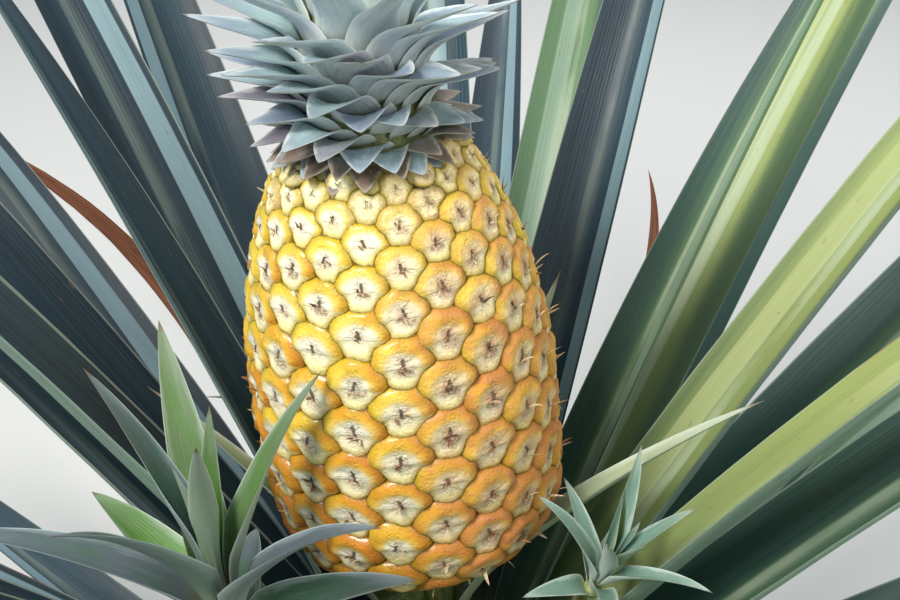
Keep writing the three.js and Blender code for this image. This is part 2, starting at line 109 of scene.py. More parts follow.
# Leafy top and plantlets: each list runs from the lowest leaf to the highest
TOP_TURN = 250
TOP_CORE = {"height": 90, "radius": 25, "tip": 7}
TOP_LEAVES = {
    "count": 70, "from": 1, "to": 86, "climb": 1.25,
    "lengths": [14, 28, 41, 54, 62, 66, 54],
    "widths": [10, 12, 13, 12.5, 10.5, 8, 5],
    "seats": [10, 56, 68, 76, 82, 88, 90],
    "rises": [-20, 3, 15, 28, 48, 68, 86],
    "droops": [0, -4, -4, 0, 2, 2, 2],
    "root": 0.94, "bend": 0.4, "fullness": 1.4, "channel": 0.24, "crumple": 0.34,
}
TOP_BETWEEN = 36  # extra leaves that stand between its lowest ones
COLLAR_TURN = 40  # of the short leaves over the fruit's shoulder
COLLAR_LEAVES = {
    "count": 40, "from": -3, "to": 7, "climb": 1,
    "lengths": [10, 13, 16, 20],
    "widths": [7, 8, 9, 10],
    "seats": [-30, -12, 10, 30],
    "rises": [-32, -26, -14, -4],
    "droops": [4, 0, -8, -10],
    "root": 1.04, "bend": 0.4, "fullness": 1.1, "channel": 0.2, "crumple": 0.8,
}
SLIP_CORE = {"height": 36, "radius": 11, "tip": 4}
SLIP_STEM = {"radius": 6.5, "gap": 0.9, "steps": 12}
SLIP_LEAVES = {
    "count": 15, "from": 2, "to": 33, "climb": 1,
    "lengths": [70, 110, 146, 150, 84],
    "widths": [13, 15, 15.5, 14, 9],
    "seats": [36, 58, 72, 84, 90],
    "rises": [8, 30, 54, 74, 86],
    "droops": [16, 28, 30, 24, 6],
    "root": 0.7, "bend": 0.35, "fullness": 1.8, "channel": 0.3, "crumple": 0.12,
}
SLIPS = [
    {"azimuth": 228, "foot": 298, "reach": 130, "height": 350, "tilt": 5, "scale": 0.85, "turn": 220},
    {"azimuth": 320, "foot": 266, "reach": 90, "height": 340, "tilt": 22, "scale": 0.45, "turn": 332},
    {"azimuth": 84, "foot": 300, "reach": 82, "height": 336, "tilt": 24, "scale": 0.48, "turn": 10},
    {"azimuth": 146, "foot": 304, "reach": 84, "height": 342, "tilt": 24, "scale": 0.45, "turn": 200},
]
SLIP_LEFT_OUT = ((1, 5), (3, 6), (0, 3, 5), (1, 2, 4, 5, 6, 9))  # leaves that would touch another piece
TUFT_LEAF = {"waist": 0.9, "clasp": 50, "sway": 0, "crowding": 1}
TUFT_LEAF_THICK = 1.5
TUFT_SPREAD = {"length": 0.08, "rise": 5, "roll": 0.12}
CORE_TAPER = 1.6
CORE_STEPS = 8
CORE_SINK = 0.92  # a core's share of the solid's radius, so that the leaves' feet cover it
TOP_DEAL = 10  # use of the seeded numbers that deal a tuft's leaves among its finishes
SLIP_DEAL = 284
DEAL_BY_AGE = 0.55  # share that a leaf's age has in that

# Leaves on the stalk
STALK_LEAVES = [
    {"azimuth": 342, "height": 280, "length": 210, "rise": 52},
    {"azimuth": 186, "height": 240, "length": 220, "rise": 60},
    {"azimuth": 47, "height": 268, "length": 190, "rise": 70},
    {"azimuth": 262, "height": 262, "length": 150, "rise": 40},
    {"azimuth": 122, "height": 250, "length": 200, "rise": 64},
]
STALK_LEAF = {
    "width": 13, "seat": 66, "droop": 12, "bend": 0.3, "fullness": 1.6, "waist": 0.8, "clasp": 40,
    "channel": 0.42, "sway": 0, "roll": 0, "thick": 1.6, "crowding": 1.2, "crumple": 0.06,
}
STALK_LEAF_CLEAR = 1.5

# Sword leaves, from the oldest to the youngest
SWORD_COUNT = 45
SWORD_FROM = 20
SWORD_PITCH = 4.1
SWORD_PHASE = 12
SWORD_LENGTHS = [640, 900, 980, 860, 460]
SWORD_WIDTHS = [22, 29, 32, 30, 17.5]
SWORD_SEATS = [46, 56, 64, 72, 80]
SWORD_RISES = [14, 34, 50, 61, 70]
SWORD_DROOPS = [12, 26, 26, 20, 10]
SWORD_LEAF = {
    "bend": 0.16, "fullness": 2.2, "waist": 0.72, "clasp": 26, "channel": 0.42, "thick": 3.2,
    "crowding": 1.35, "crumple": 0.05,
}
SWORD_SPREAD = {"length": 0.06, "rise": 2, "sway": 3, "roll": 0.2}
FRONT = radians(270)
FRONT_OPENING = 0.36
WARM_SIDE = radians(-20)  # where the leaves are greener and yellower
COOL_BELOW = 0.42  # warmth under which a leaf has the cool finish, and the green one
GREEN_BELOW = 0.87
WARMTH_BY_TONE = 0.2
DRY_LEAF = {"channel": 0.9, "crumple": 0.5}
DRY_SWAYS = {4: 8, 7: 16}
DRY_WIDTH = 0.5

# Camera, as fitted to the photograph, and studio, in metres and watts
CAMERA_PLACE = Vector((0.005, -0.437, 0.713))
CAMERA_AIM = Vector((0.005, -0.018, 0.471))
CAMERA_VIEW = radians(43.6)
CAMERA_NEAR = 0.01
FLOOR_HALF = 6
FLOOR_FINISH = {"Base_Color": (0.62, 0.62, 0.6, 1), "Roughness": 0.9}
SKY = {"Color": (0.86, 0.93, 1, 1), "Strength": 0.55}
LIGHT_AIM = Vector((0, 0, 0.4))
LIGHTS = {
    "key": {"place": Vector((-1.2, -1.5, 2.6)), "size": 1, "energy": 96, "color": (1, 0.97, 0.92)},
    "fill": {"place": Vector((1.9, -0.9, 1.5)), "size": 2, "energy": 20, "color": (1, 0.98, 0.96)},
    "rim": {"place": Vector((0.3, 1.9, 2.2)), "size": 1.8, "energy": 26, "color": (1, 1, 1)},
}

# Colours as seen, in 0..255
SWORD_SHADES = {  # each: deep, lit, bloom (also the painted lit band's colour), how much of the painted light goes into that band rather than across the leaf, and how strong the painted highlight down its channel is
    "cool": ((8, 34, 48), (20, 56, 70), (158, 190, 198), 0.8, 0.25),
    "green": ((42, 76, 68), (92, 126, 84), (178, 198, 184), 0.5, 0.8),
    "warm": ((70, 100, 72), (154, 168, 100), (206, 214, 160), 0.45, 0.75),
}
# Colour of the painted highlight down a sword leaf's channel
PAINTED_SILVER_HIGHLIGHT = (200, 214, 188)
PALE_MARGIN = (176, 188, 170)
RED_MARGIN = (150, 92, 82)
BROWN_TIP = (118, 82, 50)
BLADE_FOOT = (196, 200, 150)
SCURF = (222, 232, 232)
CROWN_SHADES = {  # from the oldest leaves to the youngest, each: body, flush and edge
    "grey": ((160, 178, 178), (142, 136, 150), (236, 238, 234)),
    "blue": ((178, 204, 204), (146, 162, 182), (240, 246, 244)),
    "green": ((192, 214, 200), (160, 184, 190), (240, 246, 236)),
}
SLIP_SHADES = {  # each: body, flush, edge and how much scurf
    "green": ((74, 126, 34), (100, 124, 84), (190, 204, 190), 0.3),
    "grey": ((56, 98, 68), (90, 102, 112), (186, 202, 204), 0.3),
    "blue": ((112, 150, 134), (130, 160, 144), (204, 218, 210)),
}


def lerp(a, b, share):
    return a + (b - a) * share


def ease(x):
    t = min(max(x, 0), 1)
    return t * t * (3 - 2 * t)


def along(values, x):
    """The value at share x along a row of evenly spaced values."""
    at = min(max(x, 0), 1) * (len(values) - 1)
    low = min(int(at), len(values) - 2)
    return lerp(values[low], values[low + 1], at - low)


def wobble(seed, use):
    """The source's seeded number in -1..1, for each leaf and use."""
    wave = sin(seed * 12.9898 + use * 78.233) * 43758.5453
    return 2 * (wave % 1) - 1


def spread(pair, seed, use):
    middle, reach = pair
    return middle + reach * wobble(seed, use)


def linear(shade):
    """A colour as seen, in 0..255, made linear."""
    parts = [c / 255 for c in shade]
    return tuple(c / 12.92 if c <= 0.04045 else ((c + 0.055) / 1.055) ** 2.4 for c in parts) + (1,)


def operator(operation):
    """What a Python operator does with values, as a Math node, and the same with its sides swapped."""
    return (
        lambda value, *other: value.tree.math(operation, value, *other),
        lambda value, other: value.tree.math(operation, other, value),
    )


class Value:
    """An output of a node, which stands for its value in a Python expression."""

    __add__, __radd__ = operator("ADD")
    __sub__, __rsub__ = operator("SUBTRACT")
    __mul__, __rmul__ = operator("MULTIPLY")
    __truediv__, __rtruediv__ = operator("DIVIDE")
    __pow__, __rpow__ = operator("POWER")
    __abs__ = operator("ABSOLUTE")[0]
    __gt__ = operator("GREATER_THAN")[0]

    def __init__(self, tree, socket):
        self.tree = tree
        self.socket = socket

    def __neg__(self):
        return self * -1

    def output(self, name):
        """Another output of the same node."""
        return Value(self.tree, next(s for s in self.socket.node.outputs if s.enabled and s.name == name))


sine, cosine, least, most = [operator(kind)[0] for kind in ("SINE", "COSINE", "MINIMUM", "MAXIMUM")]


def root(value):
    return value.tree.math("SQRT", most(value, 0))


def smooth(value, start, end):
    """A smooth step from 0 to 1 as the value goes from start to end, upwards or downwards."""
    falls = not isinstance(start, Value) and start > end
    low, high = (end, start) if falls else (start, end)
    inputs = {"Value": value, "From Min": low, "From Max": high}
    step = value.tree.add("ShaderNodeMapRange", inputs, interpolation_type="SMOOTHSTEP")
    return 1 - step if falls else step


def spot(value, middle, width):
    """1 at the middle, falling smoothly to 0 at the width either side."""
    return smooth(abs(value - middle), width, 0)


def side_of(u):
    """Across a blade, from -1 over its top to 1 and back underneath, as u goes from 0 to 1."""
    return sine(pi / 2 * (1 - abs(4 * u - 2)))


class Nodes:
    """A node tree, with the few ways in which this script adds to it."""

    def __init__(self, graph):
        self.graph = graph

    def add(self, kind, inputs=None, **settings):
        """One node: its kind, what goes into its sockets, by name or place, and its settings."""
        node = self.graph.nodes.new(kind)
        for name, setting in settings.items():
            setattr(node, name, setting)
        for key, given in (inputs or {}).items():
            usable = [s for s in node.inputs if s.enabled]
            socket = usable[key] if isinstance(key, int) else next(s for s in usable if s.name == key)
            if isinstance(given, Value):
                self.graph.links.new(given.socket, socket)
            else:
                socket.default_value = given
        return Value(self, next(s for s in node.outputs if s.enabled))

    def math(self, operation, *values):
        return self.add("ShaderNodeMath", dict(enumerate(values)), operation=operation)

    def vector(self, *parts):
        return self.add("ShaderNodeCombineXYZ", dict(enumerate(parts)))

    def parts(self, vector):
        split = self.add("ShaderNodeSeparateXYZ", {0: vector})
        return [split.output(name) for name in "XYZ"]

    def vector_math(self, operation, *values):
        return self.add("ShaderNodeVectorMath", dict(enumerate(values)), operation=operation)

    def scaled(self, vector, factor):
        return self.add("ShaderNodeVectorMath", {"Vector": vector, "Scale": factor}, operation="SCALE")

    def mix(self, factor, *pair):
        """A mix of two colours. Each is a node's output, or a colour as seen."""
        first, second = [shade if isinstance(shade, Value) else linear(shade) for shade in pair]
        return self.add("ShaderNodeMix", {"Factor": factor, "A": first, "B": second}, data_type="RGBA")

    def noise(self, place, detail=2, rough=0.5, scale=1):
        """Soft noise in about 0..1, at a vector or at three numbers."""
        where = self.vector(*place) if isinstance(place, tuple) else place
        inputs = {"Vector": where, "Scale": scale, "Detail": detail, "Roughness": rough}
        return self.add("ShaderNodeTexNoise", inputs)

    def carried(self, *names):
        """One number that the mesh carries, or several."""
        values = [self.attribute(name) for name in names]
        return values if len(values) > 1 else values[0]


class Growth(Nodes):
    """A tree of geometry nodes that grows a shape on each point of a mesh."""

    KINDS = {float: "NodeSocketFloat", int: "NodeSocketInt"}

    def __init__(self, name, **sizes):
        super().__init__(bpy.data.node_groups.new(name, "GeometryNodeTree"))
        face = self.graph.interface
        face.new_socket("Points", in_out="INPUT", socket_type="NodeSocketGeometry")
        for size, value in sizes.items():
            socket = face.new_socket(size, in_out="INPUT", socket_type=self.KINDS[type(value)])
            socket.default_value = value
        face.new_socket("Material", in_out="INPUT", socket_type="NodeSocketMaterial")
        face.new_socket("Geometry", in_out="OUTPUT", socket_type="NodeSocketGeometry")
        self.given = self.graph.nodes.new("NodeGroupInput")

    def __getitem__(self, name):
        """One of the tree's own inputs."""
        return Value(self, self.given.outputs[name])

    def attribute(self, name, kind="FLOAT"):
        return self.add("GeometryNodeInputNamedAttribute", {"Name": name}, data_type=kind)

    def whole(self, value):
        return self.add("FunctionNodeFloatToInt", {0: value})

    def store(self, geometry, name, value, kind="FLOAT", domain="POINT"):
        inputs = {"Geometry": geometry, "Name": name, "Value": value}
        return self.add("GeometryNodeStoreNamedAttribute", inputs, data_type=kind, domain=domain)

    def sheets(self, columns, rows):
        """A flat sheet for each point, whose u and v run from 0 to 1 across and along it."""
        sizes = {"Size X": 1, "Size Y": 1, "Vertices X": columns, "Vertices Y": rows}
        sheet = self.add("GeometryNodeMeshGrid", sizes)
        x, y, _ = self.parts(self.add("GeometryNodeInputPosition"))
        sheet = self.store(sheet, "u", x + 0.5)
        sheet = self.store(sheet, "v", y + 0.5)
        placed = self.add("GeometryNodeInstanceOnPoints", {"Points": self["Points"], "Instance": sheet})
        return self.add("GeometryNodeRealizeInstances", {0: placed})

    def summed(self, value, group):
        """The running total of a value along each group of vertices."""
        return self.add("GeometryNodeAccumulateField", {"Value": value, "Group ID": group})

    def from_middle(self, **amounts):
        """The place that lies these amounts from the point's middle, along its ways of those names."""
        place = self.attribute("middle", "FLOAT_VECTOR")
        for way, amount in amounts.items():
            shift = self.scaled(self.attribute(way, "FLOAT_VECTOR"), amount)
            place = self.vector_math("ADD", place, shift)
        return place

    def moved(self, geometry, position):
        return self.add("GeometryNodeSetPosition", {"Geometry": geometry, "Position": position})

    def closed(self, geometry):
        """Closes the seams of a shape that is in place, and makes it the tree's result."""
        joined = self.add("GeometryNodeMergeByDistance", {"Geometry": geometry, "Distance": SEAM})
        smooth = self.add("GeometryNodeSetShadeSmooth", {"Geometry": joined})
        real = self.add("GeometryNodeRealizeInstances", {0: smooth})
        done = self.add("GeometryNodeSetMaterial", {"Geometry": real, "Material": self["Material"]})
        out = self.graph.nodes.new("NodeGroupOutput")
        self.graph.links.new(done.socket, out.inputs["Geometry"])
        return self


def linked(name, data):
    """A new object of the scene, with its mesh, lamp or camera."""
    thing = bpy.data.objects.new(name, data)
    bpy.context.scene.collection.objects.link(thing)
    return thing


def points_mesh(name, points, edges):
    """A mesh of bare points. Each point is a record of what it carries, and "at" is its place."""
    mesh = bpy.data.meshes.new(name)
    mesh.from_pydata([point.get("at", (0, 0, 0)) for point in points], edges, [])
    for key, first in points[0].items():
        if key == "at":
            continue
        kind, field = ("FLOAT_VECTOR", "vector") if isinstance(first, Vector) else ("FLOAT", "value")
        layer = mesh.attributes.new(key, kind, "POINT")
        for item, point in zip(layer.data, points):
            setattr(item, field, point[key])
    return mesh


def grow(name, tree, points, material, place=None, edges=(), crease=50, **sizes):
    """Grows a tree's shape on points. The piece is an object at the origin, whose mesh is put in its
    place, in metres, with its faces outwards."""
    seed = linked(name + "_seed", points_mesh(name + "_seed", points, edges))
    modifier = seed.modifiers.new("growth", "NODES")
    modifier.node_group = tree.graph
    sockets = {s.name: s.identifier for s in tree.graph.interface.items_tree if s.in_out == "INPUT"}
    for size, value in {**sizes, "Material": material}.items():
        modifier[sockets[size]] = value
    evaluated = seed.evaluated_get(bpy.context.evaluated_depsgraph_get())
    mesh = bpy.data.meshes.new_from_object(evaluated)
    seed.modifiers.remove(modifier)
    bpy.data.objects.remove(seed)
    mesh.name = name
    mesh.transform(Matrix.Scale(MM, 4) @ (place or Matrix()))
    shell = bmesh.new()
    shell.from_mesh(mesh)
    bmesh.ops.recalc_face_normals(shell, faces=shell.faces)
    shell.to_mesh(mesh)
    shell.free()
    mesh.set_sharp_from_angle(angle=radians(crease))
    return linked(name, mesh)


# Growth of a leaf
LEAF_MEASURES = (
    "azimuth", "radius", "height", "length", "width", "seat", "rise", "droop", "bend", "fullness",
    "waist", "clasp", "channel", "sway", "roll", "thick", "crowding", "crumple", "tone",
)


def blade_growth():
    """A leaf on each point, laid on a surface of revolution round Z: up from its seat, out to its
    rise and over to its tip, channelled, with a rounded keel and thin margins."""
    tree = Growth("blade", Rows=24, Columns=17, Cup=1.7, Widen=1.6, Taper=0.9, Thinning=0.6)
    rows = tree["Rows"]
    sheets = tree.sheets(tree["Columns"], rows)
    u, v = tree.carried("u", "v")
    leaf = SimpleNamespace(**{name: tree.carried(name) for name in LEAF_MEASURES})
    t = v ** leaf.crowding
    before = most(v - 1 / (rows - 1), 0) ** leaf.crowding

    def slope_at(share):
        bent = smooth(share / leaf.bend, 0, 1)
        return tree.math("RADIANS", leaf.seat + (leaf.rise - leaf.seat) * bent - leaf.droop * share * share)

    # Along the blade, the sum of small steps out and up
    step = (t - before) * leaf.length
    middle = slope_at((t + before) / 2)
    column = tree.whole(tree.math("FLOOR", tree.add("GeometryNodeInputIndex") / rows))
    out = leaf.radius + tree.summed(step * cosine(middle), column)
    height = leaf.height + tree.summed(step * sine(middle), column)
    slope = slope_at(t)

    # Across the blade, from a margin over its top to the other margin and back under it
    side = side_of(u)
    narrowing = most(1 - t ** leaf.fullness, 0) ** tree["Taper"]
    width = leaf.width * least(leaf.waist + tree["Widen"] * t, 1) * narrowing
    reach = tree.math("ARCSINE", least(width / out, leaf.clasp))
    azimuth = leaf.azimuth + leaf.sway * t * t + side * reach
    ripple = tree.noise((side * 0.6, t * leaf.length / 40, leaf.tone * 40), 3) - 0.5
    cup = leaf.channel * width * smooth(t / leaf.bend, 0, 1) * abs(side) ** tree["Cup"]
    body = leaf.thick * (1 - tree["Thinning"] * t) * smooth(t, 0, 0.03) * narrowing ** 0.5
    keel = (u > 0.5) * body * root(1 - side * side)
    lift = cup + leaf.roll * width * t * side + ripple * leaf.crumple * width - keel
    out = out - lift * sine(slope)
    place = tree.vector(out * cosine(azimuth), out * sine(azimuth), height + lift * cosine(slope))
    sheets = tree.store(sheets, "blade", tree.vector(u, t, 0), "FLOAT2", "CORNER")
    return tree.closed(tree.moved(sheets, place))


def seated(leaf):
    """What the point that a leaf grows on carries."""
    return {**leaf, "clasp": sin(radians(leaf["clasp"]))}


def core_radius(core, share):
    return lerp(core["radius"], core["tip"], max(share, 0) ** CORE_TAPER)


def tuft_leaf(core, leaves, i, scale, turn):
    """A leaf of the fruit's leafy top or of a plantlet, by the source's rule."""
    age = i / (leaves["count"] - 1)
    height = lerp(leaves["from"], leaves["to"], age ** leaves["climb"])
    tilt = TUFT_SPREAD["rise"] * wobble(i, 2)
    return {
        **TUFT_LEAF,
        **{measure: leaves[measure] for measure in ("bend", "fullness", "channel", "crumple")},
        "azimuth": radians(turn) + i * GOLDEN_ANGLE,
        "radius": core_radius(core, height / core["height"]) * leaves["root"] * scale,
        "height": height * scale,
        "length": along(leaves["lengths"], age) * (1 + TUFT_SPREAD["length"] * wobble(i, 1)) * scale,
        "width": along(leaves["widths"], age) * scale,
        "seat": along(leaves["seats"], age) + tilt,
        "rise": along(leaves["rises"], age) + tilt,
        "droop": along(leaves["droops"], age),
        "roll": TUFT_SPREAD["roll"] * wobble(i, 7),
        "thick": TUFT_LEAF_THICK * sqrt(scale),
        "tone": wobble(i, 8),
    }


def stem_radius(z):
    body = lerp(STEM_FOOT_RADIUS, STEM_HEAD_RADIUS, ease(z / STEM_SWELL_HEIGHT))
    return body + STEM_FLARE * exp(-z / STEM_FLARE_HEIGHT)


def sword_leaf(i):
    """A sword leaf, by the source's rule."""
    age = i / (SWORD_COUNT - 1)
    dry = i + 1 in DRY_SWAYS
    azimuth = radians(SWORD_PHASE) + i * GOLDEN_ANGLE
    height = SWORD_FROM + i * SWORD_PITCH
    opening = FRONT_OPENING * max(0, cos(azimuth - FRONT)) ** 2 * ease(2 * age)
    rise = along(SWORD_RISES, age) + SWORD_SPREAD["rise"] * wobble(i, 4)
    return {
        **SWORD_LEAF,
        **(DRY_LEAF if dry else {}),
        "azimuth": azimuth,
        "radius": (stem_radius(height) + GAP) / cos(radians(SWORD_LEAF["clasp"]) / 2),
        "height": height,
        "length": along(SWORD_LENGTHS, age) * (1 + SWORD_SPREAD["length"] * wobble(i, 3)),
        "width": along(SWORD_WIDTHS, age) * (DRY_WIDTH if dry else 1),
        "seat": along(SWORD_SEATS, age),
        "rise": rise * (1 - opening),
        "droop": along(SWORD_DROOPS, age) * (1 - opening),
        "sway": radians(DRY_SWAYS[i + 1] if dry else SWORD_SPREAD["sway"] * wobble(i, 5)),
        "roll": SWORD_SPREAD["roll"] * wobble(i, 6),
        "tone": wobble(i, 8),
        "age": age,
        "warmth": 0.5 + 0.5 * cos(azimuth - WARM_SIDE),
    }


def stalk_leaf(leaf, i):
    azimuth, radius = radians(leaf["azimuth"]), STALK_RADIUS + STALK_LEAF_CLEAR
    return {**STALK_LEAF, **leaf, "azimuth": azimuth, "radius": radius, "tone": wobble(i, 9)}


# Growth of the fruit's eyes
def fruit_radius(t):
    side = FRUIT_BELOW if t < FRUIT_WIDEST else FRUIT_ABOVE
    off = abs(t - FRUIT_WIDEST) / side["reach"]
    return FRUIT_RADIUS * sqrt(max(0, 1 - off ** side["power"]))


def fruit_chart():
    """Rows up the fruit's skin: radius, height and the way up, each step as a share of the radius."""
    skin = [lerp(FRUIT_FIRST, 1, i / CHART_STEPS) for i in range(CHART_STEPS + 1)]
    rings = [(fruit_radius(t), t * FRUIT_HEIGHT) for t in skin]
    edge = rings[-1][0]
    for i in range(1, CAP_STEPS + 1):  # on over the flat top, to the leafy top's foot
        share = i / CAP_STEPS
        rings.append((lerp(edge, CAP_INNER, share), FRUIT_HEIGHT + CAP_RISE * sin(share * pi / 2)))
    rows = [(*rings[0], 0)]
    for r, z in rings[1:]:
        step = hypot(r - rows[-1][0], z - rows[-1][1]) / ((r + rows[-1][0]) / 2)
        rows.append((r, z, rows[-1][2] + step))
    return rows


def fruit_eyes():
    """The points that the eyes grow on: where each stands, which way it faces, and its size."""
    chart = fruit_chart()
    eyes = []
    row = 1
    number = 0
    while EYE_REACH + number * EYE_RISE <= chart[-1][2]:
        way = EYE_REACH + number * EYE_RISE
        while chart[row][2] < way:
            row += 1
        (r0, z0, way0), (r1, z1, way1) = chart[row - 1], chart[row]
        share = (way - way0) / (way1 - way0)
        r, z = lerp(r0, r1, share), lerp(z0, z1, share)
        angle = FRUIT_PHASE + number * EYE_ANGLE
        level = Vector((cos(angle), sin(angle), 0))
        upward = (level * (r1 - r0) + UP * (z1 - z0)) / hypot(r1 - r0, z1 - z0)
        across = UP.cross(level)
        outward = across.cross(upward)
        eyes.append({
            "middle": level * r + UP * z,
            "across": across,
            "upward": upward,
            "outward": outward,
            "size": r / FRUIT_RADIUS,
            "girth": r / max(outward.dot(level), EYE_TIPPED),
            "number": number,
            "tone": wobble(number, 11),
            "tone_2": wobble(number, 12),
            "share": z / FRUIT_HEIGHT,
            "dryness": ease((cos(angle - FRUIT_DRY_SIDE) - DRY_FADE["from"]) / DRY_FADE["over"]),
        })
        number += 1
    return eyes


def eye_growth():
    """An eye on each point: a round-shouldered hood, whose brow stands proud, over a narrower bract
    that sinks under the hoods of the eyes below."""
    tree = Growth(
        "eye", Spokes=29, Rings=12, Half=14.5, Hood=14.0, Bract=15.6, Waist=0.25, Depth=4.8,
        Hollow=1.9, Sunk=1.2, Keel=0.8, Brow=1.0, Bumps=2.0, Pucker=0.22,
    )
    sheets = tree.sheets(tree["Spokes"], tree["Rings"])
    u, v, tone, tone_2, size = tree.carried("u", "v", "tone", "tone_2", "size")
    turn = u * FULL_TURN
    out = v * (tree["Rings"] - 1) / (tree["Rings"] - 2)
    base = out > 1.01  # the last ring closes the eye underneath
    ring = sine(least(out, 1) * (pi / 2))

    # Its outline
    level, high = cosine(turn), sine(turn)
    side = tree.math("SIGN", level) * abs(level) ** 0.84
    low = most(-high, 0)
    uneven = (1 - base) * (1 + (tree.noise((level, high, tone * 30), scale=1.5) - 0.5) * 0.42)
    waist = 1 - tree["Waist"] * smooth(low, 0.06, 0.5) - 0.1 * low
    y = most(high, 0) ** 0.9 * tree["Hood"] - low * tree["Bract"]
    y = ring * y * uneven - 1.2 * ring * (1 - base)
    x = ring * side * tree["Half"] * waist * uneven + 0.12 * tone * y

    # Its relief: brow, hollow round the slit, and the bract's fall, soft keel and puckers
    pillow = root(1 - ring ** 4)
    far = root(x * x + y * y)
    hollow = (tree["Hollow"] + 0.5 * tone) * smooth(far, 10.5, 2)
    crook = tree.noise((x * 0.3, tone * 20, 0)) - 0.5
    keel = tree["Keel"] * spot(x, 1.5 * tone, 4.5)
    sunk = smooth(y + 3 * crook, -1, -3) * (tree["Sunk"] + 0.1 * (-y - 1) - keel)
    bumps = (tree.noise((x * 0.22, y * 0.22, tone * 50), 3) - 0.5) * tree["Bumps"] * pillow
    pucker = cosine(turn * 7 + 5 * tone_2) * tree["Pucker"] * spot(far, 4.5, 3.5)
    brow = (tree["Brow"] + 0.5 * tone_2) * pillow + pucker
    z = brow - tree["Depth"] * (1 - pillow) - (1 - base) * (hollow + sunk) + bumps - 0.6 * base

    # The eye's measures, on to the fruit's round side
    across, upward = size * x, size * y
    bulge = across * across / (2 * tree.carried("girth"))
    outward = size * z - bulge - upward * upward / (2 * FRUIT_SWEEP)
    place = tree.from_middle(across=across, upward=upward, outward=outward)
    for name, value in (("eye_x", x), ("eye_y", y), ("eye_ring", ring), ("crook", crook)):
        sheets = tree.store(sheets, name, value)
    eyes = tree.moved(sheets, place)
    return tree.closed(tree.store(eyes, "clear", eye_clearance(tree, eyes)))


def eye_clearance(tree, eyes):
    """How far each point is from the eyes around, below 0 where one of them covers it."""
    number = tree.carried("number")
    own = tree.whole(number)
    clear = FAR
    for steps in EYE_NEIGHBOURS:
        faces = {"Geometry": eyes, "Group ID": own, "Sample Group ID": tree.whole(number + steps)}
        near = tree.add("GeometryNodeProximity", faces, target_element="FACES")
        clear = least(near.output("Distance") + FAR * (1 - near.output("Is Valid")), clear)
    outward = tree.attribute("outward", "FLOAT_VECTOR")
    lifted = tree.scaled(outward, EYE_COVER["from"])
    start = tree.vector_math("ADD", tree.add("GeometryNodeInputPosition"), lifted)
    ray = {"Target Geometry": eyes, "Source Position": start, "Ray Direction": outward}
    covered = tree.add("GeometryNodeRaycast", {**ray, "Ray Length": EYE_COVER["reach"]})
    return clear * (1 - 2 * covered)


def scrap_growth():
    """A small dry strip on each point, which starts along one way and curls towards another."""
    tree = Growth("scrap", Columns=5, Rows=7, Thickness=0.3)
    sheets = tree.sheets(tree["Columns"], tree["Rows"])
    u, t, curl, length, width = tree.carried("u", "v", "curl", "length", "width")
    side = side_of(u)
    forward = length * sine(curl * t) / curl
    lift = length * (1 - cosine(curl * t)) / curl
    half = width * (1 - t ** 1.6) ** 0.8 / 2
    under = (u > 0.5) * tree["Thickness"] * root(1 - side * side) * (1 - t)
    lift = lift + 0.5 * half * side * side - under
    place = tree.from_middle(across=half * side, forward=forward, upward=lift)
    return tree.closed(tree.moved(sheets, place))


def shaft_growth():
    """A round shaft along a path, as thick as the path's points say, with a rough skin."""
    tree = Growth("shaft", Sides=32, Relief=0.0, Grain=0.1)
    path = tree.add("GeometryNodeMeshToCurve", {0: tree["Points"]})
    round_one = tree.add("GeometryNodeCurvePrimitiveCircle", {"Resolution": tree["Sides"]})
    swept = {"Curve": path, "Profile Curve": round_one, "Scale": tree.carried("girth"), "Fill Caps": True}
    shaft = tree.add("GeometryNodeCurveToMesh", swept)
    grain = tree.scaled(tree.add("GeometryNodeInputPosition"), tree["Grain"])
    rough = (tree.noise(grain, 4) - 0.5) * tree["Relief"]
    level = tree.vector_math("MULTIPLY", tree.add("GeometryNodeInputNormal"), (1, 1, 0))
    moved = {"Geometry": shaft, "Offset": tree.scaled(level, rough)}
    return tree.closed(tree.add("GeometryNodeSetPosition", moved))


class Finish(Nodes):
    """A material: shader nodes round one Principled shader, and the colour that is mixed so far."""

    def __init__(self, name, ground=None, **constants):
        self.material = bpy.data.materials.new(name)
        self.material.use_nodes = True
        super().__init__(self.material.node_tree)
        self.colour = ground
        self.shader = next(n for n in self.graph.nodes if n.type == "BSDF_PRINCIPLED")
        for socket, value in constants.items():
            self.shader.inputs[socket.replace("_", " ")].default_value = value

    def attribute(self, name):
        return self.add("ShaderNodeAttribute", attribute_name=name).output("Fac")

    def blade(self):
        """Where a point is on a leaf: across it from -1 to 1, along it from 0 to 1, and whether it is
        on the underside."""
        u, t, _ = self.parts(self.add("ShaderNodeUVMap", uv_map="blade"))
        return side_of(u), t, u > 0.5

    def place(self):
        """The place on the object, in millimetres."""
        return self.scaled(self.add("ShaderNodeTexCoord").output("Object"), 1 / MM)

    def paint(self, factor, shade):
        """Mixes a colour into the one so far."""
        self.colour = self.mix(factor, self.colour, shade)

    def done(self, roughness, height, depth, coat=None):
        """Links what changes over the surface. The relief's height is in millimetres times depth."""
        relief = {"Height": height, "Strength": 1, "Distance": depth * MM}
        given = {"Base Color": self.colour, "Roughness": roughness, "Coat Weight": coat}
        given["Normal"] = self.add("ShaderNodeBump", relief)
        for socket, value in given.items():
            if value is not None:
                self.graph.links.new(value.socket, self.shader.inputs[socket])
        return self.material


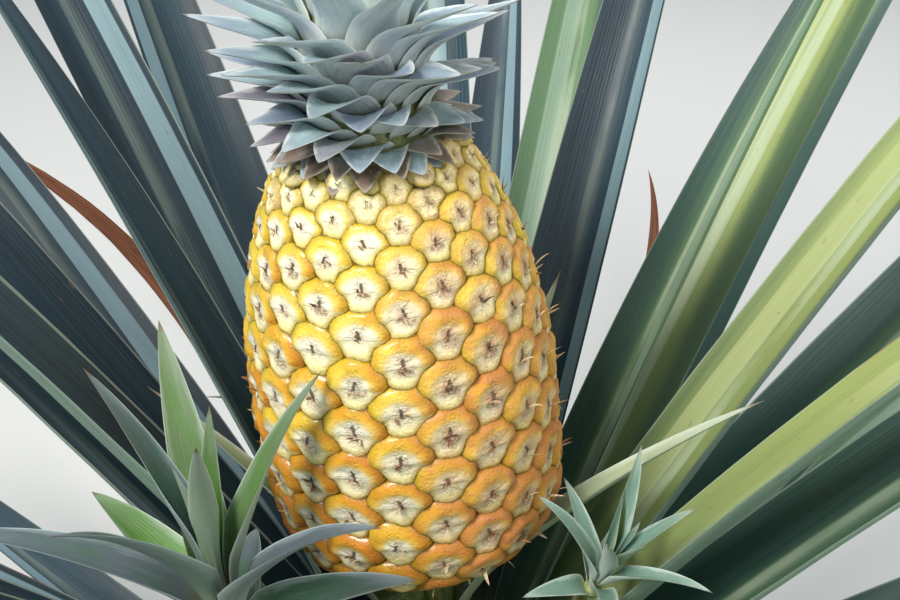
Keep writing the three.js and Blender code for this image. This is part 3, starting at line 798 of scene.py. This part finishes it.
# Finishes
def sword_leaf_finish(name, deep, lit, bloom_and_lit_band, lit_band_share, highlight_strength):
    """The wax-coated skin of a sword leaf: fine lines along it, painted light and shade across it, a
    straight-edged stripe of painted light on one wing, where its fold is lit, with painted shade along
    the fold, a painted silvery highlight down its channel, pale margins and a silvery underside."""
    skin = Finish(name, deep, Coat_Roughness=0.3, Specular_IOR_Level=0.45)
    side, t, under = skin.blade()
    tone, age = skin.carried("tone", "age")
    streaks = skin.noise((side * 1.2 + tone * 31, t * 0.8, tone * 17), 4, 0.52)
    fine = skin.noise((side * 90 + tone * 13, t * 5, tone * 7), 3, 0.7)
    patches = skin.noise((side * 0.8, t * 5, tone * 23), 4, 0.6)
    wing = side * (2 * (tone > 0) - 1)

    # Painted light and shade across the leaf: lighter on the wing that its tone picks and down the channel,
    # darker towards both edges. The streaks and patches are the leaf's own colour.
    painted_light_across = (1 - lit_band_share) * (0.5 * wing - 0.9 * (abs(side) - 0.5))
    paling = streaks + 0.1 * tone + 0.2 * (patches - 0.5) + painted_light_across
    skin.paint(smooth(paling, 0.34, 0.68), lit)
    skin.paint(smooth(t, 0.55, 0.2) * 0.45, deep)
    skin.paint(smooth(fine, 0.4, 0.8) * 0.14, bloom_and_lit_band)

    # A straight-edged band of painted light on one wing, where the fold's lit side catches the light, in
    # the bloom colour
    presence = skin.noise((tone * 40, t * 1.5, 0), 1)
    fold = wing - 0.05 - 0.5 * abs(tone) - 0.03 * (patches - 0.5)
    painted_lit_band = smooth(fold, -0.012, 0.012) * smooth(fold, 0.415, 0.385)
    painted_lit_band = painted_lit_band * smooth(presence + 0.2 * abs(tone), 0.36, 0.5) * smooth(t, 0.1, 0.3)
    skin.paint(painted_lit_band * (0.75 + 0.6 * (fine - 0.5) + 0.5 * (patches - 0.5)) * lit_band_share, bloom_and_lit_band)
    # Painted shade along the fold, at the lit band's inner edge
    skin.paint(spot(fold, -0.05, 0.06) * 0.25, deep)
    # A painted silvery highlight down the channel
    channel = wing - 0.12 * tone
    painted_highlight = smooth(channel, -0.04, 0.04) * smooth(channel, 0.4, 0.1)
    painted_highlight = painted_highlight * smooth(patches, 0.3, 0.6)
    skin.paint(painted_highlight * (0.35 + 0.7 * fine) * highlight_strength, PAINTED_SILVER_HIGHLIGHT)

    back = skin.mix(smooth(fine, 0.3, 0.7), (104, 134, 120), (150, 174, 156))
    skin.paint(under, skin.mix(smooth(streaks, 0.5, 0.8) * 0.5, back, deep))
    skin.paint(smooth(t, 0.12, 0) * 0.8, BLADE_FOOT)
    edge = skin.mix(smooth(patches, 0.55, 0.7), PALE_MARGIN, RED_MARGIN)
    skin.paint(smooth(abs(side), 0.97, 0.992) * 0.5, edge)
    specks = skin.noise((side * 14, t * 90, tone * 5))
    skin.paint(smooth(specks, 0.7, 0.76) * 0.5, BROWN_TIP)
    old_end = smooth(age, 0.12, 0) * smooth(t, 0.75, 1)
    skin.paint(least(smooth(t + 0.02 * streaks, 0.955, 0.99) + old_end, 1) * 0.85, BROWN_TIP)

    roughness = 0.46 + 0.2 * (fine - 0.5) + 0.1 * under + 0.1 * painted_lit_band
    ribs = sine(side * 70 + 2 * streaks) * 0.12 + 0.6 * fine + 0.8 * patches
    return skin.done(roughness, ribs, depth=0.3, coat=0.12 - 0.1 * under)


def dry_leaf_finish():
    skin = Finish("dry_leaf", (104, 62, 46), Specular_IOR_Level=0.3)
    side, t, _ = skin.blade()
    tone = skin.carried("tone")
    fibres = skin.noise((side * 22 + tone * 31, t * 3, 0), 4, 0.65)
    blotches = skin.noise((side * 1.5, t * 14, tone * 9), 4, 0.6)
    skin.paint(smooth(fibres, 0.35, 0.7), (180, 120, 86))
    skin.paint(smooth(fibres, 0.58, 0.78) * 0.75, (216, 178, 140))
    skin.paint(smooth(blotches, 0.55, 0.75) * 0.6, (70, 44, 36))
    return skin.done(0.7 + 0.2 * fibres, fibres + 0.6 * blotches, depth=0.9)


def tuft_leaf_finish(name, body, flush, edge, scurf=0.7):
    """A leaf of the fruit's top, of a plantlet or of the stalk, with silvery scurf on its underside
    and along its margins and tip."""
    skin = Finish(name, body, Coat_Weight=0.1, Coat_Roughness=0.35, Specular_IOR_Level=0.45)
    side, t, under = skin.blade()
    tone = skin.carried("tone")
    streaks = skin.noise((side * 7 + tone * 31, t * 1.8, tone * 17), 4, 0.6)
    fine = skin.noise((side * 40 + tone * 13, t * 6, tone * 7), 3, 0.7)
    cloudy = skin.noise((side * 1.2, t * 4, tone * 23), 4, 0.6)
    cloud = cloudy - 0.5
    skin.paint(smooth(cloudy + 0.3 * tone, 0.3, 0.7), flush)
    skin.paint(smooth(t + 0.5 * cloud, 0.3, 0.9) * 0.7, flush)
    skin.paint(under * 0.9 * scurf, SCURF)
    skin.paint(smooth(streaks + 0.6 * cloud, 0.52, 0.3) * 0.55 * scurf, flush)
    skin.paint(smooth(streaks, 0.5, 0.85) * 0.4 * scurf, edge)
    rubbed = smooth(abs(side) + 0.5 * (fine - 0.5) + 0.8 * cloud, 0.62, 0.98)
    skin.paint(most(rubbed, smooth(t + 0.3 * cloud, 0.7, 1.05)) * scurf, edge)
    skin.paint(smooth(abs(side), 0.95, 0.985) * 0.7, edge)
    skin.paint(smooth(t, 0.25, 0) * 0.4, (206, 208, 170))
    skin.paint(smooth(t + 0.04 * fine, 0.96, 1) * 0.7, BROWN_TIP)
    ribs = sine(side * 34 + 2 * streaks) * 0.1 + 0.8 * fine + 1.2 * cloudy
    return skin.done(0.5 + 0.25 * (fine - 0.5) + 0.1 * under, ribs, depth=0.3)


def eye_finish():
    """The skin of the fruit's eyes: a glossy hood with a cream middle, creases and a dark slit, over a
    bract with a dry, torn middle. Measures in an eye are those at the fruit's widest."""
    skin = Finish("fruit_skin", (246, 214, 74), Coat_Roughness=0.16, Specular_IOR_Level=0.5)
    eye = SimpleNamespace()
    eye.x, eye.y, eye.ring, crook = skin.carried("eye_x", "eye_y", "eye_ring", "crook")
    eye.tone, eye.tone_2, eye.share, eye.dust = skin.carried("tone", "tone_2", "share", "dryness")
    here = skin.place()
    eye.mottle = skin.noise(skin.scaled(here, 0.1), 4, 0.6)
    eye.grit = skin.noise(skin.scaled(here, 0.8), 3, 0.6)
    eye.blot, eye.grain = eye.mottle - 0.5, eye.grit - 0.5
    eye.far = root(eye.x * eye.x + eye.y * eye.y)
    eye.fold = eye.y + 3 * crook + 0.8 * eye.blot
    warmth = 0.68 + 0.018 * eye.x + 0.16 * eye.tone + 0.3 * eye.dust
    eye.warmth = warmth + 0.8 * eye.blot - 0.82 * eye.share

    hood = smooth(eye.fold, -2.8, -1.6)
    paint_hood(skin, eye)
    torn = paint_bract(skin, eye, hood)
    crease, line, scar, slit = paint_creases(skin, eye)
    pale = paint_weather(skin, eye)
    paint_grooves(skin, eye)
    roughness = 0.3 + 0.22 * (1 - hood) + 0.3 * eye.dust + 0.2 * pale + 0.25 * eye.grain
    relief = 0.5 * eye.grit + 0.8 * eye.mottle - 0.18 * crease - 1 * slit - 0.2 * line
    relief = relief + 0.9 * torn * eye.grit - 0.2 * scar
    return skin.done(roughness, relief, depth=0.8, coat=0.42 * hood * (1 - eye.dust))


def paint_hood(skin, eye):
    """A broad rim, lemon at the fruit's top and orange below, round a small cream middle."""
    skin.paint(smooth(eye.warmth, 0, 0.45), (238, 174, 50))
    skin.paint(smooth(eye.warmth, 0.4, 0.95), (216, 138, 50))
    brim = skin.mix(smooth(eye.warmth, 0.1, 0.6), (206, 164, 40), (190, 112, 36))
    skin.paint(smooth(eye.ring + 0.2 * eye.blot, 0.6, 0.88) * 0.6, brim)
    middle = root(0.62 * eye.x * eye.x + (eye.y + 0.5) * (eye.y + 0.5))
    middle = middle + 4.5 * eye.blot + 1 * eye.tone_2 - 1.5 * (eye.share - 0.35)
    flesh = skin.mix(eye.dust, (255, 249, 224), (255, 238, 196))
    flesh = skin.mix(smooth(middle, 3.8, 7.6) * 0.85, flesh, (252, 218, 104))
    skin.paint(smooth(middle, 9.4, 4.6) * (0.97 - 0.3 * eye.dust), flesh)


def paint_bract(skin, eye, hood):
    """The pale bract under the hood, with dry rags in its upper middle. Returns where it is torn."""
    bract = skin.mix(smooth(eye.warmth + 0.5 * eye.grain, 0.2, 0.9), (253, 238, 168), (240, 196, 112))
    fall = smooth(eye.y + 3 * eye.blot + 1.5 * eye.tone, -10, -4)
    fall = fall * smooth(abs(eye.x), 10, 4)
    bract = skin.mix(fall * 0.9, bract, (255, 246, 212))
    torn = smooth(abs(eye.x - 1.5 * eye.tone) + 8 * eye.grain, 6, 2.5)
    torn = torn * smooth(eye.y + 5 * eye.blot, -8, -4)
    torn = torn * smooth(eye.tone + eye.tone_2 + eye.dust, -0.6, 0.8)
    rags = skin.mix(smooth(eye.grit, 0.42, 0.6), (112, 72, 58), (214, 184, 146))
    skin.paint(1 - hood, skin.mix(torn * 0.75, bract, rags))
    return torn


def paint_creases(skin, eye):
    """Creases that run out from the middle, the line between hood and bract, which is painted shade under
    the hood's edge, a scar, and the slit. The creases' tan and the slit's dark brown are partly painted
    shade.
    """
    around = skin.math("ARCTAN2", eye.y, eye.x)
    fan = skin.noise((cosine(around) * 2.2, sine(around) * 2.2, eye.tone * 20), 3)
    rays = cosine(around * 5 + 7 * fan + 2 * eye.tone_2)
    near = smooth(eye.far + 10 * (fan - 0.5) + 2 * eye.tone_2, 7, 2.5)
    crease = smooth(rays, 0.7, 1) * near
    # The creases darker tan: partly their own colour, partly painted shade in them
    skin.paint(crease * 0.14, (196, 150, 104))
    # Painted shade under the hood's edge, where it steps down to the bract
    line = spot(eye.fold, -2.2, 0.6) * smooth(abs(eye.x) + 12 * eye.blot, 10, 4)
    skin.paint(line * 0.2, (190, 142, 70))
    scar = smooth(eye.far + 6 * eye.grain + 2 * (fan - 0.5), 4.2, 1.2)
    skin.paint(scar * (0.32 + 0.3 * eye.dust), (176, 134, 114))
    across = eye.x - 0.9 * eye.tone - 0.4 * eye.tone_2 * (eye.y - 0.6)
    up = abs(eye.y + 0.6 * eye.tone_2) + 2.5 * eye.blot
    slit = smooth(abs(across) + 1.8 * eye.grain, 1, 0.3) * smooth(up, 2.8 + 1.2 * eye.tone, 1.6)
    # The slit dark brown: partly its own colour, partly painted shade in the opening
    skin.paint(slit * 0.85, (74, 42, 36))
    return crease, line, scar, slit


def paint_weather(skin, eye):
    """Pale, scaly eyes under the leafy top, dust on the fruit's dry side, and freckles. Returns where
    the eyes are pale."""
    pale = smooth(eye.share + 0.04 * eye.tone + 0.06 * eye.blot, 0.9, 1)
    skin.paint(pale * 0.65, (252, 240, 178))
    skin.paint(pale * smooth(eye.far + 14 * eye.grain, 7, 11) * 0.5, (138, 120, 100))
    skin.paint(eye.dust * smooth(eye.mottle + eye.grit, 0.75, 1.25) * 0.5, (206, 146, 112))
    freckles = smooth(eye.grit + 0.06 * eye.dust, 0.7, 0.78)
    skin.paint(freckles * (0.2 + 0.2 * eye.dust), (130, 86, 44))
    return pale


def paint_grooves(skin, eye):
    """The grooves between the eyes, olive at their brim and brown at the bottom: partly the skin's own
    colour, partly painted shade in the grooves.
    """
    clear = skin.carried("clear")
    groove = smooth(clear + 1.6 * eye.blot, 2.4, 0.2)
    olive = skin.mix(smooth(eye.warmth, 0.1, 0.6), (188, 164, 24), (178, 118, 30))
    skin.paint(most(groove, smooth(eye.ring, 0.9, 0.98)) * 0.62, olive)
    bottom = smooth(clear + 0.7 * eye.grain + 1.3 * eye.blot, 0.55, 0.05)
    skin.paint(most(bottom, smooth(eye.ring, 0.97, 0.995)) * 0.75, (106, 84, 20))


def plain_finish(name, dark, light, grain, depth, rough=0.7):
    """A mottled finish of two colours, for the pieces that show least."""
    skin = Finish(name, dark)
    here = skin.place()
    x, y, z = skin.parts(here)
    long_grain = skin.noise((x * grain, y * grain, z * grain * 0.25), 4, 0.6)
    fine = skin.noise(skin.scaled(here, grain * 5), 3, 0.6)
    skin.paint(smooth(long_grain + 0.3 * (fine - 0.5), 0.35, 0.65), light)
    return skin.done(rough + 0.2 * (fine - 0.5), long_grain + 0.5 * fine, depth)


def scrap_finish(name, dark, light):
    skin = Finish(name, dark, Specular_IOR_Level=0.3)
    fine = skin.noise(skin.scaled(skin.place(), 1.3), 3, 0.6)
    skin.paint(smooth(fine, 0.35, 0.65), light)
    return skin.done(0.75 + 0.2 * (fine - 0.5), fine, depth=0.3)


# Where things stand
def azimuth_of(direction):
    return Matrix.Rotation(direction, 4, "Z")


HEAD_TURN = Matrix.Rotation(FRUIT_LEAN_FRONT, 4, "X") @ Matrix.Rotation(-FRUIT_LEAN_LEFT, 4, "Y")
FRUIT_AXIS = HEAD_TURN @ UP


def on_fruit_axis(height):
    return Matrix.Translation(FRUIT_BASE + FRUIT_AXIS * height) @ HEAD_TURN


def bezier(corners, share):
    """A point of a cubic curve."""
    a, b, c, d = corners
    rest = 1 - share
    return a * rest ** 3 + b * 3 * rest * rest * share + c * 3 * rest * share * share + d * share ** 3


STALK_FOOT = Vector((0, 0, STEM_HEIGHT + GAP))
STALK_END = FRUIT_BASE - FRUIT_AXIS * GAP
STALK_BEND = (STALK_END.z - STALK_FOOT.z) / 3
STALK_CORNERS = (STALK_FOOT, STALK_FOOT + UP * STALK_BEND, STALK_END - FRUIT_AXIS * STALK_BEND, STALK_END)


def stalk_centre(height):
    return bezier(STALK_CORNERS, (height - STALK_FOOT.z) / (STALK_END.z - STALK_FOOT.z))


def slip_place(slip):
    out = Matrix.Translation((slip["reach"], 0, slip["height"]))
    return azimuth_of(radians(slip["azimuth"])) @ out @ Matrix.Rotation(radians(slip["tilt"]), 4, "Y")


def slip_stem(slip, place):
    """Places and girths from the stalk's side to a plantlet's foot."""
    outward = azimuth_of(radians(slip["azimuth"])) @ Vector((1, 0, 0))
    foot = stalk_centre(slip["foot"]) + outward * (STALK_RADIUS + SLIP_STEM["gap"])
    end, heading = place.translation, place.to_3x3() @ UP
    bend = (end - foot).length / 2
    corners = (foot, foot + outward * bend, end - heading * bend, end)
    thin = SLIP_STEM["radius"] * sqrt(slip["scale"])
    thick = SLIP_CORE["radius"] * slip["scale"] * CORE_SINK
    shares = [k / SLIP_STEM["steps"] for k in range(SLIP_STEM["steps"] + 1)]
    return [(bezier(corners, share), lerp(thin, thick, share ** 2)) for share in shares]


# Pieces
def shaft(name, rows, material, place=None, **sizes):
    """A shaft through rows of places and girths."""
    points = [{"at": at, "girth": girth} for at, girth in rows]
    edges = [(i, i + 1) for i in range(len(rows) - 1)]
    return grow(name, SHAFT, points, material, place, edges, crease=60, **sizes)


def stands_for(piece, node):
    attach(piece, "root")
    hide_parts(node)


def make_stem():
    rows = [(UP * z, stem_radius(z)) for z in STEM_LEVELS]
    neck = stem_radius(STEM_SHOULDER) - STALK_RADIUS
    for share in STEM_NECK_LEVELS:
        height = lerp(STEM_SHOULDER, STEM_HEIGHT, share)
        rows.append((UP * height, STALK_RADIUS + neck * sqrt(1 - share * share)))
    bark = plain_finish("stem_bark", (88, 76, 50), (150, 136, 92), grain=0.12, depth=1.2)
    stands_for(shaft("stem_bark", rows, bark, Sides=56, Relief=1.6, Grain=0.12), "stem")


def make_stalk():
    places = [bezier(STALK_CORNERS, i / STALK_STEPS) for i in range(STALK_STEPS + 1)]
    rows = [(place, STALK_RADIUS - STALK_SINK) for place in places]
    rind = plain_finish("stalk_rind", (96, 108, 62), (158, 164, 104), grain=0.2, depth=0.8, rough=0.6)
    stands_for(shaft("stalk_rind", rows, rind, Relief=1.0, Grain=0.3), "stalk")


def make_sword_leaves():
    skins = {name: sword_leaf_finish(f"sword_leaf_{name}", *given) for name, given in SWORD_SHADES.items()}
    dry = dry_leaf_finish()
    for i in range(SWORD_COUNT):
        leaf = sword_leaf(i)
        shade = leaf["warmth"] + WARMTH_BY_TONE * leaf["tone"]
        finish = skins["cool" if shade < COOL_BELOW else "green" if shade < GREEN_BELOW else "warm"]
        slot = "leaf"
        if i + 1 in DRY_SWAYS:
            finish, slot = dry, "dry_leaf"
        number = f"{i + 1:02d}"
        piece = grow(f"sword_blade_{number}", BLADE, [seated(leaf)], finish, Rows=56, Columns=25)
        stands_for(piece, f"sword_leaf_{number}")


def make_stalk_leaves():
    skin = tuft_leaf_finish("stalk_leaf", (120, 150, 78), (168, 182, 148), (212, 222, 206))
    for i, leaf in enumerate(STALK_LEAVES):
        centre = stalk_centre(leaf["height"])
        place = Matrix.Translation((centre.x, centre.y, 0))
        grown = [seated(stalk_leaf(leaf, i))]
        piece = grow(f"stalk_blade_{i + 1}", BLADE, grown, skin, place, Rows=32, Columns=21)
        stands_for(piece, f"stalk_leaf_{i + 1}")


def make_tuft(name, node, slot, core, leaves, finishes, place, steps, scale=1, turn=0, deal=TOP_DEAL):
    """A tuft's leaves, dealt out among the finishes, the first of which goes to the oldest leaves,
    each finish as one piece. The steps are those of the spiral on which a leaf stands."""

    def finish_of(i):
        share = lerp((wobble(i, deal) + 1) / 2, i / leaves["count"], DEAL_BY_AGE)
        return min(int(share * len(finishes)), len(finishes) - 1)

    for number, finish in enumerate(finishes):
        dealt = [i for i in steps if finish_of(i) == number]
        if dealt:
            grown = [seated(tuft_leaf(core, leaves, i, scale, turn)) for i in dealt]
            piece = grow(f"{name}_{number + 1}", BLADE, grown, finish, place, Rows=18, Columns=17, Cup=1.5)
            stands_for(piece, node)


def make_core(name, node, slot, core, place, scale=1):
    rows = []
    for i in range(CORE_STEPS + 1):
        z = core["height"] * i / CORE_STEPS
        rows.append((UP * z * scale, core_radius(core, z / core["height"]) * scale * CORE_SINK))
    stands_for(shaft(name, rows, TUFT_CORE, place, Sides=20, Relief=0.4), node)


def make_crown():
    finishes = [tuft_leaf_finish(f"crown_leaf_{name}", *shades) for name, shades in CROWN_SHADES.items()]
    collar = tuft_leaf_finish("crown_collar", (150, 152, 150), (138, 118, 104), (214, 206, 190))
    place = on_fruit_axis(FRUIT_HEIGHT + GAP)
    top = ("crown", "crown_leaf", TOP_CORE)
    steps = [*range(TOP_LEAVES["count"]), *(i + 0.5 for i in range(TOP_BETWEEN))]
    make_tuft("crown_leaves", *top, TOP_LEAVES, finishes, place, steps, turn=TOP_TURN)
    steps = range(COLLAR_LEAVES["count"])
    make_tuft("crown_collar", *top, COLLAR_LEAVES, [collar], place, steps, turn=COLLAR_TURN)
    make_core("crown_core", *top, place)


def make_slips():
    skins = {name: tuft_leaf_finish(f"slip_leaf_{name}", *shades) for name, shades in SLIP_SHADES.items()}
    stem_skin = plain_finish("slip_stem", (104, 120, 70), (164, 172, 112), grain=0.3, depth=0.6, rough=0.6)
    for i, slip in enumerate(SLIPS):
        place, scale = slip_place(slip), slip["scale"]
        finishes = [skins[name] for name in (("blue", "blue", "green") if i else ("grey", "green"))]
        steps = [k for k in range(SLIP_LEAVES["count"]) if k not in SLIP_LEFT_OUT[i]]
        part = (f"slip_{i + 1}", "slip_leaf", SLIP_CORE)
        given = {"scale": scale, "turn": slip["turn"], "deal": SLIP_DEAL}
        make_tuft(f"slip_leaves_{i + 1}", *part, SLIP_LEAVES, finishes, place, steps, **given)
        make_core(f"slip_core_{i + 1}", *part, place, scale)
        stem = shaft(f"slip_stem_{i + 1}", slip_stem(slip, place), stem_skin, Sides=20, Relief=0.5)
        stands_for(stem, f"slip_{i + 1}")


def make_fruit():
    place = on_fruit_axis(0)
    eyes = fruit_eyes()
    stands_for(grow("fruit_eyes", EYE, eyes, eye_finish(), place, crease=45), "fruit")
    rows = []
    for i in range(GROOVE_FLOOR["steps"] + 1):
        share = 0.5 - 0.5 * cos(pi * i / GROOVE_FLOOR["steps"])
        t = lerp(GROOVE_FLOOR["from"], GROOVE_FLOOR["to"], share)
        radius = fruit_radius(t) * GROOVE_FLOOR["share"] - GROOVE_FLOOR["sink"]
        rows.append((UP * t * FRUIT_HEIGHT, max(radius, GROOVE_FLOOR["least"])))
    floor = plain_finish("fruit_groove", (96, 70, 28), (168, 128, 50), grain=0.2, depth=0.8)
    stands_for(shaft("fruit_core", rows, floor, place, Sides=64), "fruit")
    make_scraps(eyes, place)


def eye_scrap(eye, seed, kind):
    """A dry scrap in an eye's middle, or the pointed tip of its bract, which stands out from it."""
    size = max(eye["size"], SCRAP_EYE_LEAST)
    right, up = spread(SCRAP_PLACE["right"], seed, 21), spread(SCRAP_PLACE["up"], seed, 22)
    off = eye["across"] * right + eye["upward"] * up - eye["outward"] * SCRAP_PLACE["sunk"]
    turn = Matrix.Rotation(kind["spin"] * wobble(seed, 23), 3, eye["outward"])
    length = spread(kind["length"], seed, 24) + kind["drying"] * eye["dryness"]
    scrap = {
        "middle": eye["middle"] + off * size,
        "forward": (turn @ eye["upward"] + eye["outward"] * spread(kind["stand"], seed, 26)).normalized(),
        "across": turn @ eye["across"],
        "upward": eye["outward"],
        "length": length * size,
        "width": size * spread(kind["width"], seed, 25),
        "curl": spread(SCRAP_CURL, seed, 28),
    }
    paleness = wobble(seed, 29) + SCRAP_PALE["dryness"] * eye["dryness"] + kind["paling"]
    return scrap, "pale" if paleness > SCRAP_PALE["above"] else "brown"


def make_scraps(eyes, place):
    """The dry scraps in the eyes, of which the first is the bract's tip."""
    scraps = {"brown": [], "pale": []}
    for number, eye in enumerate(eyes):
        count = 1 + int(SCRAPS_MOST * (wobble(number, 20) + 1) / 2)
        for k in range(count):
            scrap, shade = eye_scrap(eye, number * 7 + k, LOOSE_SCRAP if k else BRACT_TIP)
            scraps[shade].append(scrap)
    finishes = {
        "brown": scrap_finish("scrap_brown", (104, 70, 52), (172, 130, 90)),
        "pale": scrap_finish("scrap_pale", (176, 144, 104), (226, 208, 174)),
    }
    for shade, points in scraps.items():
        piece = grow(f"fruit_scraps_{shade}", SCRAP, points, finishes[shade], place)
        stands_for(piece, "fruit")


def aimed(place, target):
    turn = (target - place).to_track_quat("-Z", "Y")
    return Matrix.Translation(place) @ turn.to_matrix().to_4x4()


def make_studio():
    """The floor, the soft lights and the camera."""
    sheet = bpy.data.meshes.new("floor")
    flat = bmesh.new()
    bmesh.ops.create_grid(flat, x_segments=1, y_segments=1, size=FLOOR_HALF)
    flat.to_mesh(sheet)
    flat.free()
    sheet.materials.append(Finish("floor", **FLOOR_FINISH).material)
    linked("floor", sheet)

    world = bpy.data.worlds.new("studio")
    world.use_nodes = True
    for socket, value in SKY.items():
        world.node_tree.nodes["Background"].inputs[socket].default_value = value
    bpy.context.scene.world = world
    for name, light in LIGHTS.items():
        lamp = bpy.data.lights.new(name, "AREA")
        lamp.shape = "DISK"
        for key in ("size", "energy", "color"):
            setattr(lamp, key, light[key])
        linked(name, lamp).matrix_world = aimed(light["place"], LIGHT_AIM)

    lens = bpy.data.cameras.new("camera")
    lens.sensor_width = 36
    lens.angle = CAMERA_VIEW
    lens.clip_start = CAMERA_NEAR
    camera = linked("camera", lens)
    camera.matrix_world = aimed(CAMERA_PLACE, CAMERA_AIM)
    bpy.context.scene.camera = camera
    bpy.context.scene.view_settings.view_transform = "Standard"


BLADE = blade_growth()
EYE = eye_growth()
SCRAP = scrap_growth()
SHAFT = shaft_growth()
TUFT_CORE = plain_finish("tuft_core", (120, 132, 84), (176, 180, 128), grain=0.3, depth=0.6, rough=0.6)

make_studio()
make_stem()
make_stalk()
make_sword_leaves()
make_stalk_leaves()
make_crown()
make_slips()
make_fruit()
